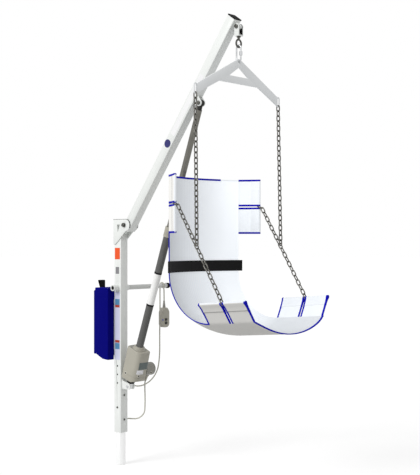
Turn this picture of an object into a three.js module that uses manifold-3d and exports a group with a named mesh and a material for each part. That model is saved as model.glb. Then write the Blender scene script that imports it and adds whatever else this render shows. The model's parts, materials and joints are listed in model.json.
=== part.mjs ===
// Pool patient lift: a mast on a round deck post, a pivoting boom raised by an electric actuator,
// and a fabric seat that hangs on chains from a spreader. Millimetres, +Z up.
// The origin is the centre of the post's lower end. +X is the way the boom reaches.
import * as THREE from 'three';
import { mergeVertices } from 'three/addons/utils/BufferGeometryUtils.js';
import Module from 'manifold-3d';

const wasm = await Module();
wasm.setup();

// Clearances and facets shared by every piece
const gap = 0.3;
const overrun = 4;
const weldBite = 1;
const roundSides = 20;
const smallSides = 12;
const cornerSteps = 1;

// Post and mast
const postDiameter = 48.3;
const postExposed = 170;
const postChamfer = 4;
const postPlugLength = 225;
const mastSize = 50.8;
const mastCorner = 4;
const mastWall = 3;
const mastHeight = 1040;
const mastTopThickness = 4;
const postBoltFirst = 67;
const postBoltSpacing = 64;
const postBoltDiameter = 8;
const postBoltHeadDiameter = 12;
const postBoltHeadHeight = 3.5;
const postBoltCrownShare = 0.7;
const spareHoleFirst = 258.5;
const spareHolePitch = 44.5;
const spareHoleDiameter = 9.5;

// Side plates and boom pivot
const plateThickness = 4.8;
const pivotReach = 56;
const pivotRise = 45;
const pivotHeight = mastHeight + pivotRise;
const noseRadius = 31;
const noseLead = 11;
const plateDrop = 100;
const plateTipWidth = 15.8;
const windowTopWidth = 22;
const windowDepth = 42;
const windowInset = 27.4;
const windowRise = 3;
const windowLean = 6;
const pivotBoltDiameter = 16;
const pivotHeadWidth = 24;
const pivotHeadHeight = 9;
const pivotNutHeight = 11;
const washerDiameter = 30;
const washerThickness = 2.5;

// Boom
const boomSize = 50.8;
const boomCorner = 4;
const boomWall = 3;
const boomReach = 1212.5;
const boomRestAngle = 54.2;
const boomOffset = 15.3;
const boomButtDrop = 35;
const bushWall = 2.4;
const bushLength = 20;
const pivotTubeWall = 4;
const boomCapThickness = 4;
const boomCapPlug = 14;
const lugReach = 775.7;
const lugDrop = 26.4;
const lugEndRadius = 16;
const lugRootLength = 52;
const lugPlateThickness = 5;
const upperPinDiameter = 12;
const upperHeadWidth = 18;
const upperHeadHeight = 6;
const tipInset = 22.3;
const tipReach = boomReach - tipInset;
const tipDrop = 23.3;
const tipBarrelRadius = 12;
const tipBarrelLength = 22.4;
const tipWebThickness = 12;
const tipPinDiameter = 12;
const tipHeadWidth = 18;
const tipHeadHeight = 6;

// Lower bracket and actuator
const lowerPinReach = 66;
const lowerPinHeight = 245;
const lowerPinDiameter = 12;
const lowerHeadDiameter = 15;
const lowerHeadHeight = 4;
const bracketPlateThickness = 5;
const bracketEarThickness = 5;
const bracketEarRadius = 20;
const bracketBelow = 16;
const bracketAbove = 34;
const eyeWidth = 24;
const eyeRadius = 14;
const housingStart = 41;
const housingShoulder = 54;
const housingEnd = 211;
const housingRearEnd = 204;
const housingWidth = 80;
const housingRear = 36;
const housingToe = 31;
const housingFrontLow = 60;
const housingFrontHigh = 48;
const housingCorner = 22;
const neckRadius = 30;
const neckRise = 12;
const neckSocket = 12;
const seamAlong = 72;
const seamWidth = 1.6;
const seamDepth = 1.2;
const motorAlong = 101;
const motorFront = 21;
const motorRadius = 34;
const motorLength = 69;
const motorDome = 7;
const motorFlange = 2.5;
const motorFlangeLength = 7;
const glandBossRadius = 10;
const glandBossEnd = 64;
const glandFront = 27;
const glandAcross = 78;
const glandRadius = 8;
const glandLength = 29;
const tubeDiameter = 38;
const tubeWall = 3.7;
const tubeEnd = 869;
const collarDiameter = 43;
const collarOverTube = 46;
const collarLip = 7;
const collarStart = tubeEnd - collarOverTube;
const collarEnd = tubeEnd + collarLip;
const rodDiameter = 30;
const rodWall = 2.5;
const rodInTube = 83;
const rodStart = tubeEnd - rodInTube;
const rodEyeWidth = 20;
const rodEyeRadius = 16;
const rodEyeShank = 36;
const rodPlugLength = 24;

// Handle and hand control
const handleHeight = 757;
const barDiameter = 25.4;
const barWall = 2.6;
const sleeveWall = 1.9;
const sleeveNear = 60;
const sleeveFar = 48;
const barFar = 372;
const handleCapLength = 20;
const handleCapWall = 1.6;
const handleCapEnd = 3;
const handsetWidth = 58;
const handsetDepth = 29;
const handsetHeight = 108;
const handsetDrop = 119;
const handsetTop = handleHeight - handsetDrop;
const handsetAcross = 309;
const handsetShoulder = 24;
const handsetNeckWidth = 26;
const handsetFoot = 22;
const handsetEdge = 4;
const reliefLength = 38;
const reliefRadius = 8;
const buttonWidth = 18;
const buttonHeight = 14;
const buttonProud = 3;
const buttonPocket = 6;
const buttonSpacing = 18;
const buttonCorner = 3;
const buttonBelowCentre = 8;

// Cords
const cordDiameter = 7;
const cordSides = 8;
const cordRingsPerStretch = 3;
const cordEndGap = 0.5;
const grommetRadius = 9;
const grommetFlange = 3;
const grommetNose = 9;
const grommetStem = 5;
const handsetCordHeight = 250;
const actuatorCordHeight = 63;

// Battery pack under its cover
const coverBack = 137;
const coverHalfWidth = 70;
const coverTop = 757;
const coverWall = 3;
const coverLip = 407;
const coverToe = 384;
const coverFront = 380;
const coverLipDepth = 20;
const coverToeDepth = 69;
const coverStepDepth = 9;
const coverStepDrop = 15;
const coverCorner = 6;
const packPlateThickness = 5;
const packPlateWidth = 46;
const packPlateTop = 700;
const packPlateBottom = 425;
const boxDepth = 76;
const boxWidth = 122;
const boxTop = 530;
const boxBottom = 400;
const boxCorner = 9;
const boxEdge = 4;
const plugRadius = 9;
const plugLength = 14;
const plugSpacing = 34;
const batteryDepth = 88;
const batteryWidth = 126;
const batteryTop = 712;
const batteryGripWidth = 70;
const batteryGripDepth = 8;
const batteryGripHeight = 24;
const strapHeight = 37.5;
const strapSewnLength = 35;
const strapTopDepth = 24;
const strapFootDepth = 10;
const strapWebbing = 2.5;
const strapWidth = 30;

// Hanging gear: clevis, eye bolt, quick link and spreader
const clevisThickness = 5;
const clevisDepth = 28;
const clevisTopRadius = 14;
const clevisWebDrop = 45;
const clevisWebThickness = 6;
const stemDiameter = 12;
const stemNutWidth = 19;
const stemNutHeight = 8;
const stemProud = 3;
const stemCollarDiameter = 20;
const stemCollarHeight = 5;
const eyeRingRadius = 18;
const eyeRingWire = 9;
const eyeRingDrop = 79;
const ringSides = 8;
const quickWire = 8;
const quickSides = 8;
const quickWidth = 26;
const quickSleeveWidth = 14;
const quickSleeveLength = 20;
const quickLength = 78.6;
const spreaderThickness = 6.4;
const spreaderHalf = 305;
const spreaderApexMargin = 16;
const spreaderHoleRadius = 6.5;
const spreaderEndTop = 148;
const spreaderEndBottom = 192;
const spreaderKneeHalf = 142;
const spreaderKneeDrop = 119;
const triangleTop = 40;
const triangleBottom = 85;
const triangleHalf = 71;
const triangleCorner = 7;
const armLinkWire = 6;
const armLinkLength = 46;
const armLinkDrop = 172;
const armLinkSides = 6;

// Chain
const chainWire = 5.5;
const chainSides = 4;
const chainPitch = 25.4;
const chainWidth = 16.9;
const chainBite = 0.3;
const chainDrop = 693;
const junctionBackLinks = 8;
const endLinkTilt = 20;

// Seat sling
const slingThickness = 3;
const kneeHalf = 253.5;
const slingSag = 67;
const earWidth = 113;
const earLean = 58;
const earLength = 266;
const earGap = 14;
const seatAhead = 13;
const seatBackHeight = 450;
const seatArcRadius = 231;
const seatSlope = 4.7;
const seatFrontLip = 15;
const seatArcSteps = 8;
const slingSteps = 12;
const hemRodDiameter = 9.5;
const hemRodShort = 2;
const hemFabric = 2;
const hemFold = 40;
const hemBoreSides = 8;
const beltWidth = 52;
const beltThickness = 2;
const beltAboveArc = 9;
const beltPastKnee = 17;

const unitX = new THREE.Vector3(1, 0, 0);
const unitY = new THREE.Vector3(0, 1, 0);
const unitZ = new THREE.Vector3(0, 0, 1);
const radians = THREE.MathUtils.degToRad;
const halfTurn = Math.PI;
const quarterTurn = Math.PI / 2;

// Turns a geometry into a solid that can be joined and cut.
function solidOf(geometry) {
  const bare = geometry.clone();
  bare.deleteAttribute('normal');
  bare.deleteAttribute('uv');
  const welded = mergeVertices(bare);
  return new wasm.Manifold(new wasm.Mesh({
    numProp: 3,
    vertProperties: new Float32Array(welded.attributes.position.array),
    triVerts: new Uint32Array(welded.index.array),
  }));
}

function geometryOf(solid) {
  const mesh = solid.getMesh();
  const geometry = new THREE.BufferGeometry();
  geometry.setAttribute('position', new THREE.BufferAttribute(mesh.vertProperties, 3));
  geometry.setIndex(new THREE.BufferAttribute(mesh.triVerts, 1));
  geometry.computeVertexNormals();
  return geometry;
}

function joined(first, ...others) {
  return geometryOf(others.reduce((whole, other) => whole.add(solidOf(other)), solidOf(first)));
}

function cutBy(first, ...cutters) {
  return geometryOf(cutters.reduce((rest, cutter) => rest.subtract(solidOf(cutter)), solidOf(first)));
}

function sharedBy(first, second) {
  return geometryOf(solidOf(first).intersect(solidOf(second)));
}

// A closed triangle mesh from corner points and faces. Its faces are turned round if they point in.
function closedMesh(points, faces) {
  let volume = 0;
  for (const [a, b, c] of faces) {
    volume += points[a].dot(points[b].clone().cross(points[c]));
  }
  const outward = volume > 0 ? faces : faces.map(([a, b, c]) => [a, c, b]);
  const geometry = new THREE.BufferGeometry().setFromPoints(points);
  geometry.setIndex(outward.flat());
  geometry.computeVertexNormals();
  return geometry;
}

// Outlines
function roundedRectangle(width, height, radius) {
  const right = width / 2;
  const top = height / 2;
  const shape = new THREE.Shape();
  shape.absarc(right - radius, top - radius, radius, 0, quarterTurn);
  shape.absarc(radius - right, top - radius, radius, quarterTurn, halfTurn);
  shape.absarc(radius - right, radius - top, radius, halfTurn, halfTurn + quarterTurn);
  shape.absarc(right - radius, radius - top, radius, halfTurn + quarterTurn, 2 * halfTurn);
  return shape;
}

function polygon(points) {
  return new THREE.Shape(points.map(([x, y]) => new THREE.Vector2(x, y)));
}

// Drawn-out outlines. The first is drawn out along +Z from z = 0.
function drawnUp(outline, length, steps = cornerSteps) {
  return new THREE.ExtrudeGeometry(outline, { depth: length, bevelEnabled: false, curveSegments: steps });
}

// The outline lies across Y and Z, and is drawn out along +X from x = 0.
function drawnAlongX(outline, length, steps = cornerSteps) {
  return drawnUp(outline, length, steps).applyMatrix4(new THREE.Matrix4().makeBasis(unitY, unitZ, unitX));
}

// The outline lies across X and Z, and its thickness is centred on y = middle.
function plateAcrossY(outline, thickness, middle = 0, steps = cornerSteps) {
  const back = unitY.clone().negate();
  const plate = drawnUp(outline, thickness, steps).applyMatrix4(new THREE.Matrix4().makeBasis(unitX, unitZ, back));
  return plate.translate(0, middle + thickness / 2, 0);
}

// A block with rounded upright edges and small bevels, its depth along X from x = 0.
function softBlock(depth, width, height, corner, edge) {
  const outline = roundedRectangle(width - 2 * edge, height - 2 * edge, corner - edge);
  const block = new THREE.ExtrudeGeometry(outline, {
    depth: depth - 2 * edge,
    bevelEnabled: true,
    bevelThickness: edge,
    bevelSize: edge,
    bevelSegments: 1,
    curveSegments: 2 * cornerSteps,
  });
  return block.applyMatrix4(new THREE.Matrix4().makeBasis(unitY, unitZ, unitX)).translate(edge, 0, 0);
}

// A profile of [radius, height] pairs turned about an axis. It starts and ends on the axis, or closes.
function turned(profile, direction = unitZ, sides = roundSides) {
  const points = profile.map(([radius, height]) => new THREE.Vector2(radius, height));
  const lathe = new THREE.LatheGeometry(points, sides);
  lathe.applyQuaternion(new THREE.Quaternion().setFromUnitVectors(unitY, direction));
  const bare = lathe.clone();
  bare.deleteAttribute('normal');
  bare.deleteAttribute('uv');
  const welded = mergeVertices(bare);
  const at = welded.attributes.position;
  const corners = Array.from({ length: at.count }, (_, i) => new THREE.Vector3().fromBufferAttribute(at, i));
  const faces = [];
  for (let i = 0; i < welded.index.count; i += 3) {
    const face = [0, 1, 2].map((k) => welded.index.getX(i + k));
    if (new Set(face).size === 3) {
      faces.push(face);
    }
  }
  return closedMesh(corners, faces);
}

function rod(radius, start, end, direction = unitZ, sides = roundSides) {
  return turned([[0, start], [radius, start], [radius, end], [0, end]], direction, sides);
}

function pipe(outer, inner, start, end, direction = unitZ, sides = roundSides) {
  return turned([[inner, start], [outer, start], [outer, end], [inner, end], [inner, start]], direction, sides);
}

// The radius of a bore whose flats clear a shaft.
function boreFor(shaftRadius, sides = roundSides) {
  return (shaftRadius + gap) / Math.cos(halfTurn / sides);
}

function hexagon(acrossFlats, start, end, direction) {
  return rod(acrossFlats / Math.sqrt(3), start, end, direction, 6);
}

function squareTube(size, corner, wall, length) {
  const outline = roundedRectangle(size, size, corner);
  outline.holes.push(roundedRectangle(size - 2 * wall, size - 2 * wall, corner - wall));
  return drawnUp(outline, length);
}

// Finishes
function finish(color, roughness, metalness) {
  return () => new THREE.MeshStandardMaterial({ color, roughness, metalness });
}

const whitePaint = finish(0xe6e9e5, 0.35, 0.1);
const blackPlastic = finish(0x161616, 0.5, 0);
const beigePlastic = finish(0xa9a899, 0.5, 0);
const greyPlastic = finish(0x8d8d85, 0.5, 0);
const darkSteel = finish(0x5d5d58, 0.4, 0.8);
const brightSteel = finish(0xc4c7c8, 0.3, 0.9);
const rodSteel = finish(0x8b877d, 0.3, 0.8);
const tubePaint = finish(0x797979, 0.4, 0.3);
const spreaderPaint = finish(0xd3d7da, 0.4, 0.2);
const nylon = finish(0xd8d6cc, 0.5, 0);
const cordSkin = finish(0xb4b3a8, 0.6, 0);
const navyCover = finish(0x000071, 0.8, 0);
const slingFabric = finish(0xe8ebf0, 0.9, 0);
const blackWebbing = finish(0x1b1c1e, 0.85, 0);

// Groups: each carries the pieces that stand in the same frame
const lift = new THREE.Group();

function frameAt(parent, x, y, z, tilt = 0) {
  const group = new THREE.Group();
  group.position.set(x, y, z);
  group.rotation.y = -tilt;
  parent.add(group);
  return group;
}

function addPiece(parent, name, geometry, makeFinish) {
  const mesh = new THREE.Mesh(geometry, makeFinish());
  mesh.name = name;
  parent.add(mesh);
  return mesh;
}

const mastFrame = frameAt(lift, 0, 0, postExposed);
const boomAngle = radians(boomRestAngle);
const boomFrame = frameAt(mastFrame, pivotReach, 0, pivotHeight, boomAngle);
const boomUnderside = -boomOffset - boomSize / 2;

// A point given in the boom's frame, as x and z in the mast's frame.
function fromBoom(along, above) {
  return {
    x: pivotReach + along * Math.cos(boomAngle) - above * Math.sin(boomAngle),
    z: pivotHeight + along * Math.sin(boomAngle) + above * Math.cos(boomAngle),
  };
}

const upperPinAt = fromBoom(lugReach, boomUnderside - lugDrop);
const tipPinAt = fromBoom(tipReach, boomUnderside - tipDrop);
const actuatorLength = Math.hypot(upperPinAt.x - lowerPinReach, upperPinAt.z - lowerPinHeight);
const actuatorAngle = Math.atan2(upperPinAt.z - lowerPinHeight, upperPinAt.x - lowerPinReach);
const actuatorFrame = frameAt(mastFrame, lowerPinReach, 0, lowerPinHeight, actuatorAngle);
const handleFrame = frameAt(mastFrame, 0, 0, handleHeight);
const hangFrame = frameAt(mastFrame, tipPinAt.x, 0, tipPinAt.z);

// Post: a round pin for the deck anchor, with a square plug that the mast tube slides over
function makePost() {
  const radius = postDiameter / 2;
  const plugSize = mastSize - 2 * mastWall - 2 * gap;
  const plug = drawnUp(roundedRectangle(plugSize, plugSize, mastCorner - mastWall), postPlugLength + weldBite);
  const pin = turned([[0, 0], [radius - postChamfer, 0], [radius, postChamfer], [radius, postExposed - gap],
    [0, postExposed - gap]]);
  plug.translate(0, 0, postExposed - gap - weldBite);
  const bore = boreFor(postBoltDiameter / 2, smallSides);
  const holes = postBoltHeights().map(({ height, direction }) => {
    return rod(bore, -mastSize, mastSize, direction, smallSides).translate(0, 0, postExposed + height);
  });
  return cutBy(joined(pin, plug), ...holes);
}

// The bolts cross the mast one way and then the other.
function postBoltHeights() {
  return [unitX, unitY, unitX].map((direction, i) => ({ direction, height: postBoltFirst + i * postBoltSpacing }));
}

function makeMastTube() {
  const tube = squareTube(mastSize, mastCorner, mastWall, mastHeight);
  const topSize = mastSize - mastWall;
  const top = drawnUp(roundedRectangle(topSize, topSize, mastCorner - mastWall / 2), mastTopThickness);
  top.translate(0, 0, mastHeight - mastTopThickness);
  const cutters = [];
  for (const { height, direction } of postBoltHeights()) {
    const bore = boreFor(postBoltDiameter / 2, smallSides);
    cutters.push(rod(bore, -mastSize, mastSize, direction, smallSides).translate(0, 0, height));
  }
  for (let i = 0; i < 3; i += 1) {
    const height = spareHoleFirst + i * spareHolePitch;
    const hole = rod(spareHoleDiameter / 2, -mastSize, 0, unitY, smallSides);
    cutters.push(hole.translate(0, 0, height));
  }
  for (const height of [handsetCordHeight, actuatorCordHeight]) {
    cutters.push(rod(boreFor(grommetStem, smallSides), 0, mastSize, unitY, smallSides).translate(0, 0, height));
  }
  const sleeveRadius = barDiameter / 2 + gap + sleeveWall;
  cutters.push(rod(boreFor(sleeveRadius), -mastSize, mastSize, unitY).translate(0, 0, handleHeight));
  return cutBy(joined(tube, top), ...cutters);
}

function makePostBolt(direction) {
  const face = mastSize / 2 + gap;
  const head = postBoltHeadDiameter / 2;
  const shank = postBoltDiameter / 2;
  const crown = face + postBoltHeadHeight;
  const flat = head * postBoltCrownShare;
  return turned([[0, -crown], [flat, -crown], [head, -face], [shank, -face], [shank, face], [head, face],
    [flat, crown], [0, crown]], direction, smallSides);
}

addPiece(lift, 'post', makePost(), whitePaint);
addPiece(mastFrame, 'mast_tube', makeMastTube(), whitePaint);
postBoltHeights().forEach(({ height, direction }, i) => {
  addPiece(mastFrame, `post_bolt_${i + 1}`, makePostBolt(direction), darkSteel).position.z = height;
});

// Side plates: welded to the mast, they hold the boom between them
function makeSidePlate(side) {
  const back = -mastSize / 2;
  const bottom = pivotHeight - plateDrop;
  const noseX = pivotReach + noseLead;
  const tip = new THREE.Vector2(back + plateTipWidth, bottom);
  const outline = new THREE.Shape();
  outline.moveTo(back, bottom);
  outline.lineTo(tip.x - plateTipWidth / 3, tip.y);
  outline.quadraticCurveTo(tip.x, tip.y, tip.x + plateTipWidth / 3, tip.y + plateTipWidth / 3);
  outline.lineTo(noseX, pivotHeight - noseRadius);
  outline.absarc(noseX, pivotHeight, noseRadius, -quarterTurn, quarterTurn);
  outline.lineTo(back, pivotHeight + noseRadius);
  const windowTop = pivotHeight + windowRise;
  const windowLeft = back + windowInset;
  outline.holes.push(polygon([[windowLeft, windowTop], [windowLeft + windowTopWidth, windowTop],
    [windowLeft + windowLean, windowTop - windowDepth]]));
  const middle = side * (mastSize / 2 + gap + plateThickness / 2);
  const plate = plateAcrossY(outline, plateThickness, middle, smallSides / 2);
  const bore = rod(boreFor(pivotBoltDiameter / 2), -mastSize, mastSize, unitY);
  return cutBy(plate, bore.translate(pivotReach, 0, pivotHeight));
}

const plateOuter = mastSize / 2 + gap + plateThickness;

function makePivotBolt() {
  const shank = pivotBoltDiameter / 2;
  const face = plateOuter + gap;
  const washer = face + washerThickness;
  const threadEnd = face + washerThickness + pivotNutHeight + gap + weldBite;
  const shaft = turned([[0, -washer - weldBite], [shank, -washer - weldBite], [shank, threadEnd], [0, threadEnd]],
    unitY, smallSides * 2);
  const flange = rod(washerDiameter / 2, -washer, -face, unitY);
  const head = hexagon(pivotHeadWidth, -washer - pivotHeadHeight, -washer + weldBite / 2, unitY);
  return joined(shaft, flange, head);
}

function makePivotNut() {
  const face = plateOuter + gap;
  const washer = rod(washerDiameter / 2, face, face + washerThickness, unitY);
  const nut = hexagon(pivotHeadWidth, face + weldBite, face + washerThickness + pivotNutHeight, unitY);
  return cutBy(joined(washer, nut), rod(boreFor(pivotBoltDiameter / 2), 0, 2 * mastSize, unitY));
}

addPiece(mastFrame, 'side_plate_left', makeSidePlate(-1), whitePaint);
addPiece(mastFrame, 'side_plate_right', makeSidePlate(1), whitePaint);
const pivotFrame = frameAt(mastFrame, pivotReach, 0, pivotHeight);
addPiece(pivotFrame, 'pivot_bolt', makePivotBolt(), darkSteel);
addPiece(pivotFrame, 'pivot_nut', makePivotNut(), darkSteel);

// Boom: a square tube with a pivot tube across its butt and welded lugs under it
const bushOuter = boreFor(pivotBoltDiameter / 2) + bushWall;
const pivotTubeBore = boreFor(bushOuter);
const lugGap = rodEyeWidth / 2 + gap;

function lugOutline(x, drop, endRadius, rootLength) {
  const root = boomUnderside + boomWall / 2;
  const centre = boomUnderside - drop;
  const outline = new THREE.Shape();
  outline.moveTo(x - rootLength / 2, root);
  outline.lineTo(x - endRadius, centre);
  outline.absarc(x, centre, endRadius, halfTurn, 2 * halfTurn);
  outline.lineTo(x + rootLength / 2, root);
  return { outline, centre };
}

function makeBoomTube() {
  const start = -2 * boomSize;
  const tube = squareTube(boomSize, boomCorner, boomWall, boomReach - start);
  tube.applyMatrix4(new THREE.Matrix4().makeBasis(unitY, unitZ, unitX)).translate(start, 0, -boomOffset);
  const crossTube = rod(pivotTubeBore + pivotTubeWall, -boomSize / 2 + weldBite, boomSize / 2 - weldBite, unitY);
  const cuts = [rod(pivotTubeBore, -boomSize, boomSize, unitY)];
  // The butt is cut level, a little below the pivot.
  const saw = new THREE.BoxGeometry(6 * boomSize, 2 * boomSize, 4 * boomSize);
  saw.translate(0, 0, -boomButtDrop - 2 * boomSize).rotateY(boomAngle);
  cuts.push(saw);
  const lug = lugOutline(lugReach, lugDrop, lugEndRadius, lugRootLength);
  const lugMiddle = lugGap + lugPlateThickness / 2;
  const lugs = [-1, 1].map((side) => plateAcrossY(lug.outline, lugPlateThickness, side * lugMiddle, smallSides / 3));
  const lugBore = rod(boreFor(upperPinDiameter / 2, smallSides), -boomSize, boomSize, unitY, smallSides);
  cuts.push(lugBore.translate(lugReach, 0, lug.centre));
  const tip = lugOutline(tipReach, tipDrop, tipBarrelRadius - weldBite, 2 * tipBarrelRadius);
  const web = plateAcrossY(tip.outline, tipWebThickness, 0, cornerSteps);
  const barrel = rod(tipBarrelRadius, -tipBarrelLength / 2, tipBarrelLength / 2, unitY);
  barrel.translate(tipReach, 0, tip.centre);
  const tipBore = rod(boreFor(tipPinDiameter / 2, smallSides), -boomSize, boomSize, unitY, smallSides);
  cuts.push(tipBore.translate(tipReach, 0, tip.centre));
  return cutBy(joined(tube, crossTube, ...lugs, web, barrel), ...cuts);
}

function makeBoomCap() {
  const inner = boomSize - 2 * boomWall - 2 * gap;
  const plate = drawnAlongX(roundedRectangle(boomSize, boomSize, boomCorner), boomCapThickness);
  const plug = drawnAlongX(roundedRectangle(inner, inner, boomCorner - boomWall), boomCapPlug + weldBite);
  plug.translate(-boomCapPlug, 0, 0);
  return joined(plate, plug).translate(boomReach + gap, 0, -boomOffset);
}

function makePivotBush(side) {
  const outerEnd = side * (boomSize / 2 - gap);
  const innerEnd = side * (boomSize / 2 - gap - bushLength);
  const bore = boreFor(pivotBoltDiameter / 2);
  return pipe(bushOuter, bore, Math.min(outerEnd, innerEnd), Math.max(outerEnd, innerEnd), unitY);
}

addPiece(boomFrame, 'boom_tube', makeBoomTube(), whitePaint);
addPiece(boomFrame, 'boom_cap', makeBoomCap(), blackPlastic);
addPiece(boomFrame, 'pivot_bush_left', makePivotBush(-1), nylon);
addPiece(boomFrame, 'pivot_bush_right', makePivotBush(1), nylon);

// Upper pin: its head and nut stay in the lug's plates, and its middle rides in the rod's eye
function makeUpperPinEnd(side) {
  const inner = side * lugGap;
  const outer = side * (lugGap + lugPlateThickness + gap);
  const end = outer + side * upperHeadHeight;
  const bite = outer + side * weldBite;
  const shank = rod(upperPinDiameter / 2, Math.min(inner, bite), Math.max(inner, bite), unitY, smallSides);
  return joined(shank, hexagon(upperHeadWidth, Math.min(outer, end), Math.max(outer, end), unitY));
}

const upperPinFrame = frameAt(boomFrame, lugReach, 0, boomUnderside - lugDrop);
addPiece(upperPinFrame, 'upper_pin_head', makeUpperPinEnd(-1), darkSteel);
addPiece(upperPinFrame, 'upper_pin_nut', makeUpperPinEnd(1), darkSteel);

// Tip pin: carries the hanging clevis on the barrel under the boom's end
const clevisInner = tipBarrelLength / 2 + gap;
const clevisOuter = clevisInner + clevisThickness;

function makeTipPin() {
  const face = clevisOuter + gap;
  const threadEnd = face + tipHeadHeight + gap + weldBite;
  const shaft = rod(tipPinDiameter / 2, -face - weldBite, threadEnd, unitY, smallSides);
  return joined(shaft, hexagon(tipHeadWidth, -face - tipHeadHeight, -face, unitY));
}

function makeTipNut() {
  const face = clevisOuter + gap;
  const nut = hexagon(tipHeadWidth, face, face + tipHeadHeight, unitY);
  const bore = boreFor(tipPinDiameter / 2, smallSides);
  return cutBy(nut, rod(bore, 0, 2 * clevisOuter, unitY, smallSides));
}

const tipPinFrame = frameAt(boomFrame, tipReach, 0, boomUnderside - tipDrop);
addPiece(tipPinFrame, 'tip_pin', makeTipPin(), darkSteel);
addPiece(tipPinFrame, 'tip_pin_nut', makeTipNut(), darkSteel);

// Lower bracket: two ears on a plate that is welded to the mast
function makeBracket() {
  const face = mastSize / 2 + gap;
  const earInner = eyeWidth / 2 + gap;
  const width = 2 * (earInner + bracketEarThickness);
  const plate = drawnAlongX(roundedRectangle(width, bracketAbove + bracketBelow, bracketPlateThickness / 2),
    bracketPlateThickness);
  plate.translate(face, 0, lowerPinHeight + (bracketAbove - bracketBelow) / 2);
  const outline = new THREE.Shape();
  outline.moveTo(face + bracketPlateThickness / 2, lowerPinHeight + bracketAbove - bracketPlateThickness);
  outline.lineTo(face + bracketPlateThickness / 2, lowerPinHeight - bracketBelow + weldBite);
  outline.lineTo(lowerPinReach, lowerPinHeight - bracketBelow + weldBite);
  outline.absarc(lowerPinReach, lowerPinHeight, bracketEarRadius, radians(-50), radians(100));
  const middle = earInner + bracketEarThickness / 2;
  const ears = [-1, 1].map((side) => plateAcrossY(outline, bracketEarThickness, side * middle, smallSides / 3));
  const bore = rod(boreFor(lowerPinDiameter / 2, smallSides), -width, width, unitY, smallSides);
  return cutBy(joined(plate, ...ears), bore.translate(lowerPinReach, 0, lowerPinHeight));
}

const earOuter = eyeWidth / 2 + gap + bracketEarThickness;

function makeLowerPin() {
  const face = earOuter + gap;
  const threadEnd = face + lowerHeadHeight + gap + weldBite;
  const shank = lowerPinDiameter / 2;
  const head = lowerHeadDiameter / 2;
  const crown = face + lowerHeadHeight;
  return turned([[0, -crown], [head - weldBite, -crown], [head, -crown + weldBite], [head, -face], [shank, -face],
    [shank, threadEnd], [0, threadEnd]], unitY, smallSides);
}

function makeLowerNut() {
  const face = earOuter + gap;
  const nut = hexagon(lowerHeadDiameter, face, face + lowerHeadHeight, unitY);
  return cutBy(nut, rod(boreFor(lowerPinDiameter / 2, smallSides), 0, 2 * face, unitY, smallSides));
}

addPiece(mastFrame, 'actuator_bracket', makeBracket(), whitePaint);
const lowerPinFrame = frameAt(mastFrame, lowerPinReach, 0, lowerPinHeight);
addPiece(lowerPinFrame, 'lower_pin', makeLowerPin(), brightSteel);
addPiece(lowerPinFrame, 'lower_pin_nut', makeLowerNut(), brightSteel);

// Actuator: drawn with its axis along +X, the lower pin at the origin and its front towards -Z
function makeRearEye() {
  const outline = new THREE.Shape();
  const halfArm = eyeRadius * 0.8;
  const armStart = Math.sqrt(eyeRadius ** 2 - halfArm ** 2);
  const angle = Math.atan2(halfArm, armStart);
  outline.moveTo(housingStart - gap, -halfArm);
  outline.lineTo(housingStart - gap, halfArm);
  outline.lineTo(armStart, halfArm);
  outline.absarc(0, 0, eyeRadius, angle, 2 * halfTurn - angle);
  const eye = plateAcrossY(outline, eyeWidth, 0, smallSides / 3);
  return cutBy(eye, rod(boreFor(lowerPinDiameter / 2, smallSides), -eyeWidth, eyeWidth, unitY, smallSides));
}

function makeHousing() {
  const side = polygon([[housingStart, housingRear], [housingStart, -housingToe],
    [housingShoulder, -housingFrontLow], [housingEnd, -housingFrontHigh], [housingRearEnd, housingRear]]);
  const depth = housingRear + housingFrontLow;
  const section = roundedRectangle(housingWidth, depth, housingCorner);
  const block = drawnAlongX(section, housingEnd + overrun).translate(0, 0, housingRear - depth / 2);
  const body = sharedBy(block, plateAcrossY(side, 2 * housingWidth));
  // A shallow groove runs round the housing where its lower shell meets the upper one.
  const grooveSection = roundedRectangle(2 * housingWidth, 2 * depth, housingCorner);
  grooveSection.holes.push(roundedRectangle(housingWidth - 2 * seamDepth, depth - 2 * seamDepth, housingCorner));
  const groove = drawnAlongX(grooveSection, seamWidth).translate(seamAlong, 0, housingRear - depth / 2);
  const neck = turned([[0, housingRearEnd - overrun], [neckRadius, housingRearEnd - overrun],
    [neckRadius, housingEnd + neckRise - weldBite], [neckRadius - weldBite, housingEnd + neckRise],
    [0, housingEnd + neckRise]], unitX);
  const socketStart = housingEnd + neckRise - neckSocket;
  const socket = rod(boreFor(tubeDiameter / 2), socketStart, housingEnd + 2 * neckRise, unitX);
  return cutBy(joined(cutBy(body, groove), neck), socket);
}

function makeMotorCan() {
  const start = housingWidth / 2 + gap;
  const end = start + motorLength;
  const can = turned([[0, start], [motorRadius + motorFlange, start],
    [motorRadius + motorFlange, start + motorFlangeLength], [motorRadius, start + motorFlangeLength + motorFlange],
    [motorRadius, end - motorDome], [motorRadius - motorDome / 3, end - motorDome / 3],
    [motorRadius - motorDome, end], [0, end]], unitY);
  can.translate(motorAlong, 0, -motorFront);
  const boss = rod(glandBossRadius, glandBossEnd, motorAlong, unitX, smallSides);
  return joined(can, boss.translate(0, glandAcross, -glandFront));
}

// The cable gland tapers down to the cable.
function makeCableGland() {
  const start = glandBossEnd - gap;
  const end = start - glandLength;
  const tip = cordDiameter / 2 + 1;
  return turned([[0, start], [glandRadius, start], [glandRadius, start - glandLength / 3], [tip, end], [0, end]],
    unitX, smallSides).translate(0, glandAcross, -glandFront);
}

function makeOuterTube() {
  const start = housingEnd + neckRise - neckSocket + gap;
  return pipe(tubeDiameter / 2, tubeDiameter / 2 - tubeWall, start, tubeEnd, unitX);
}

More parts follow.
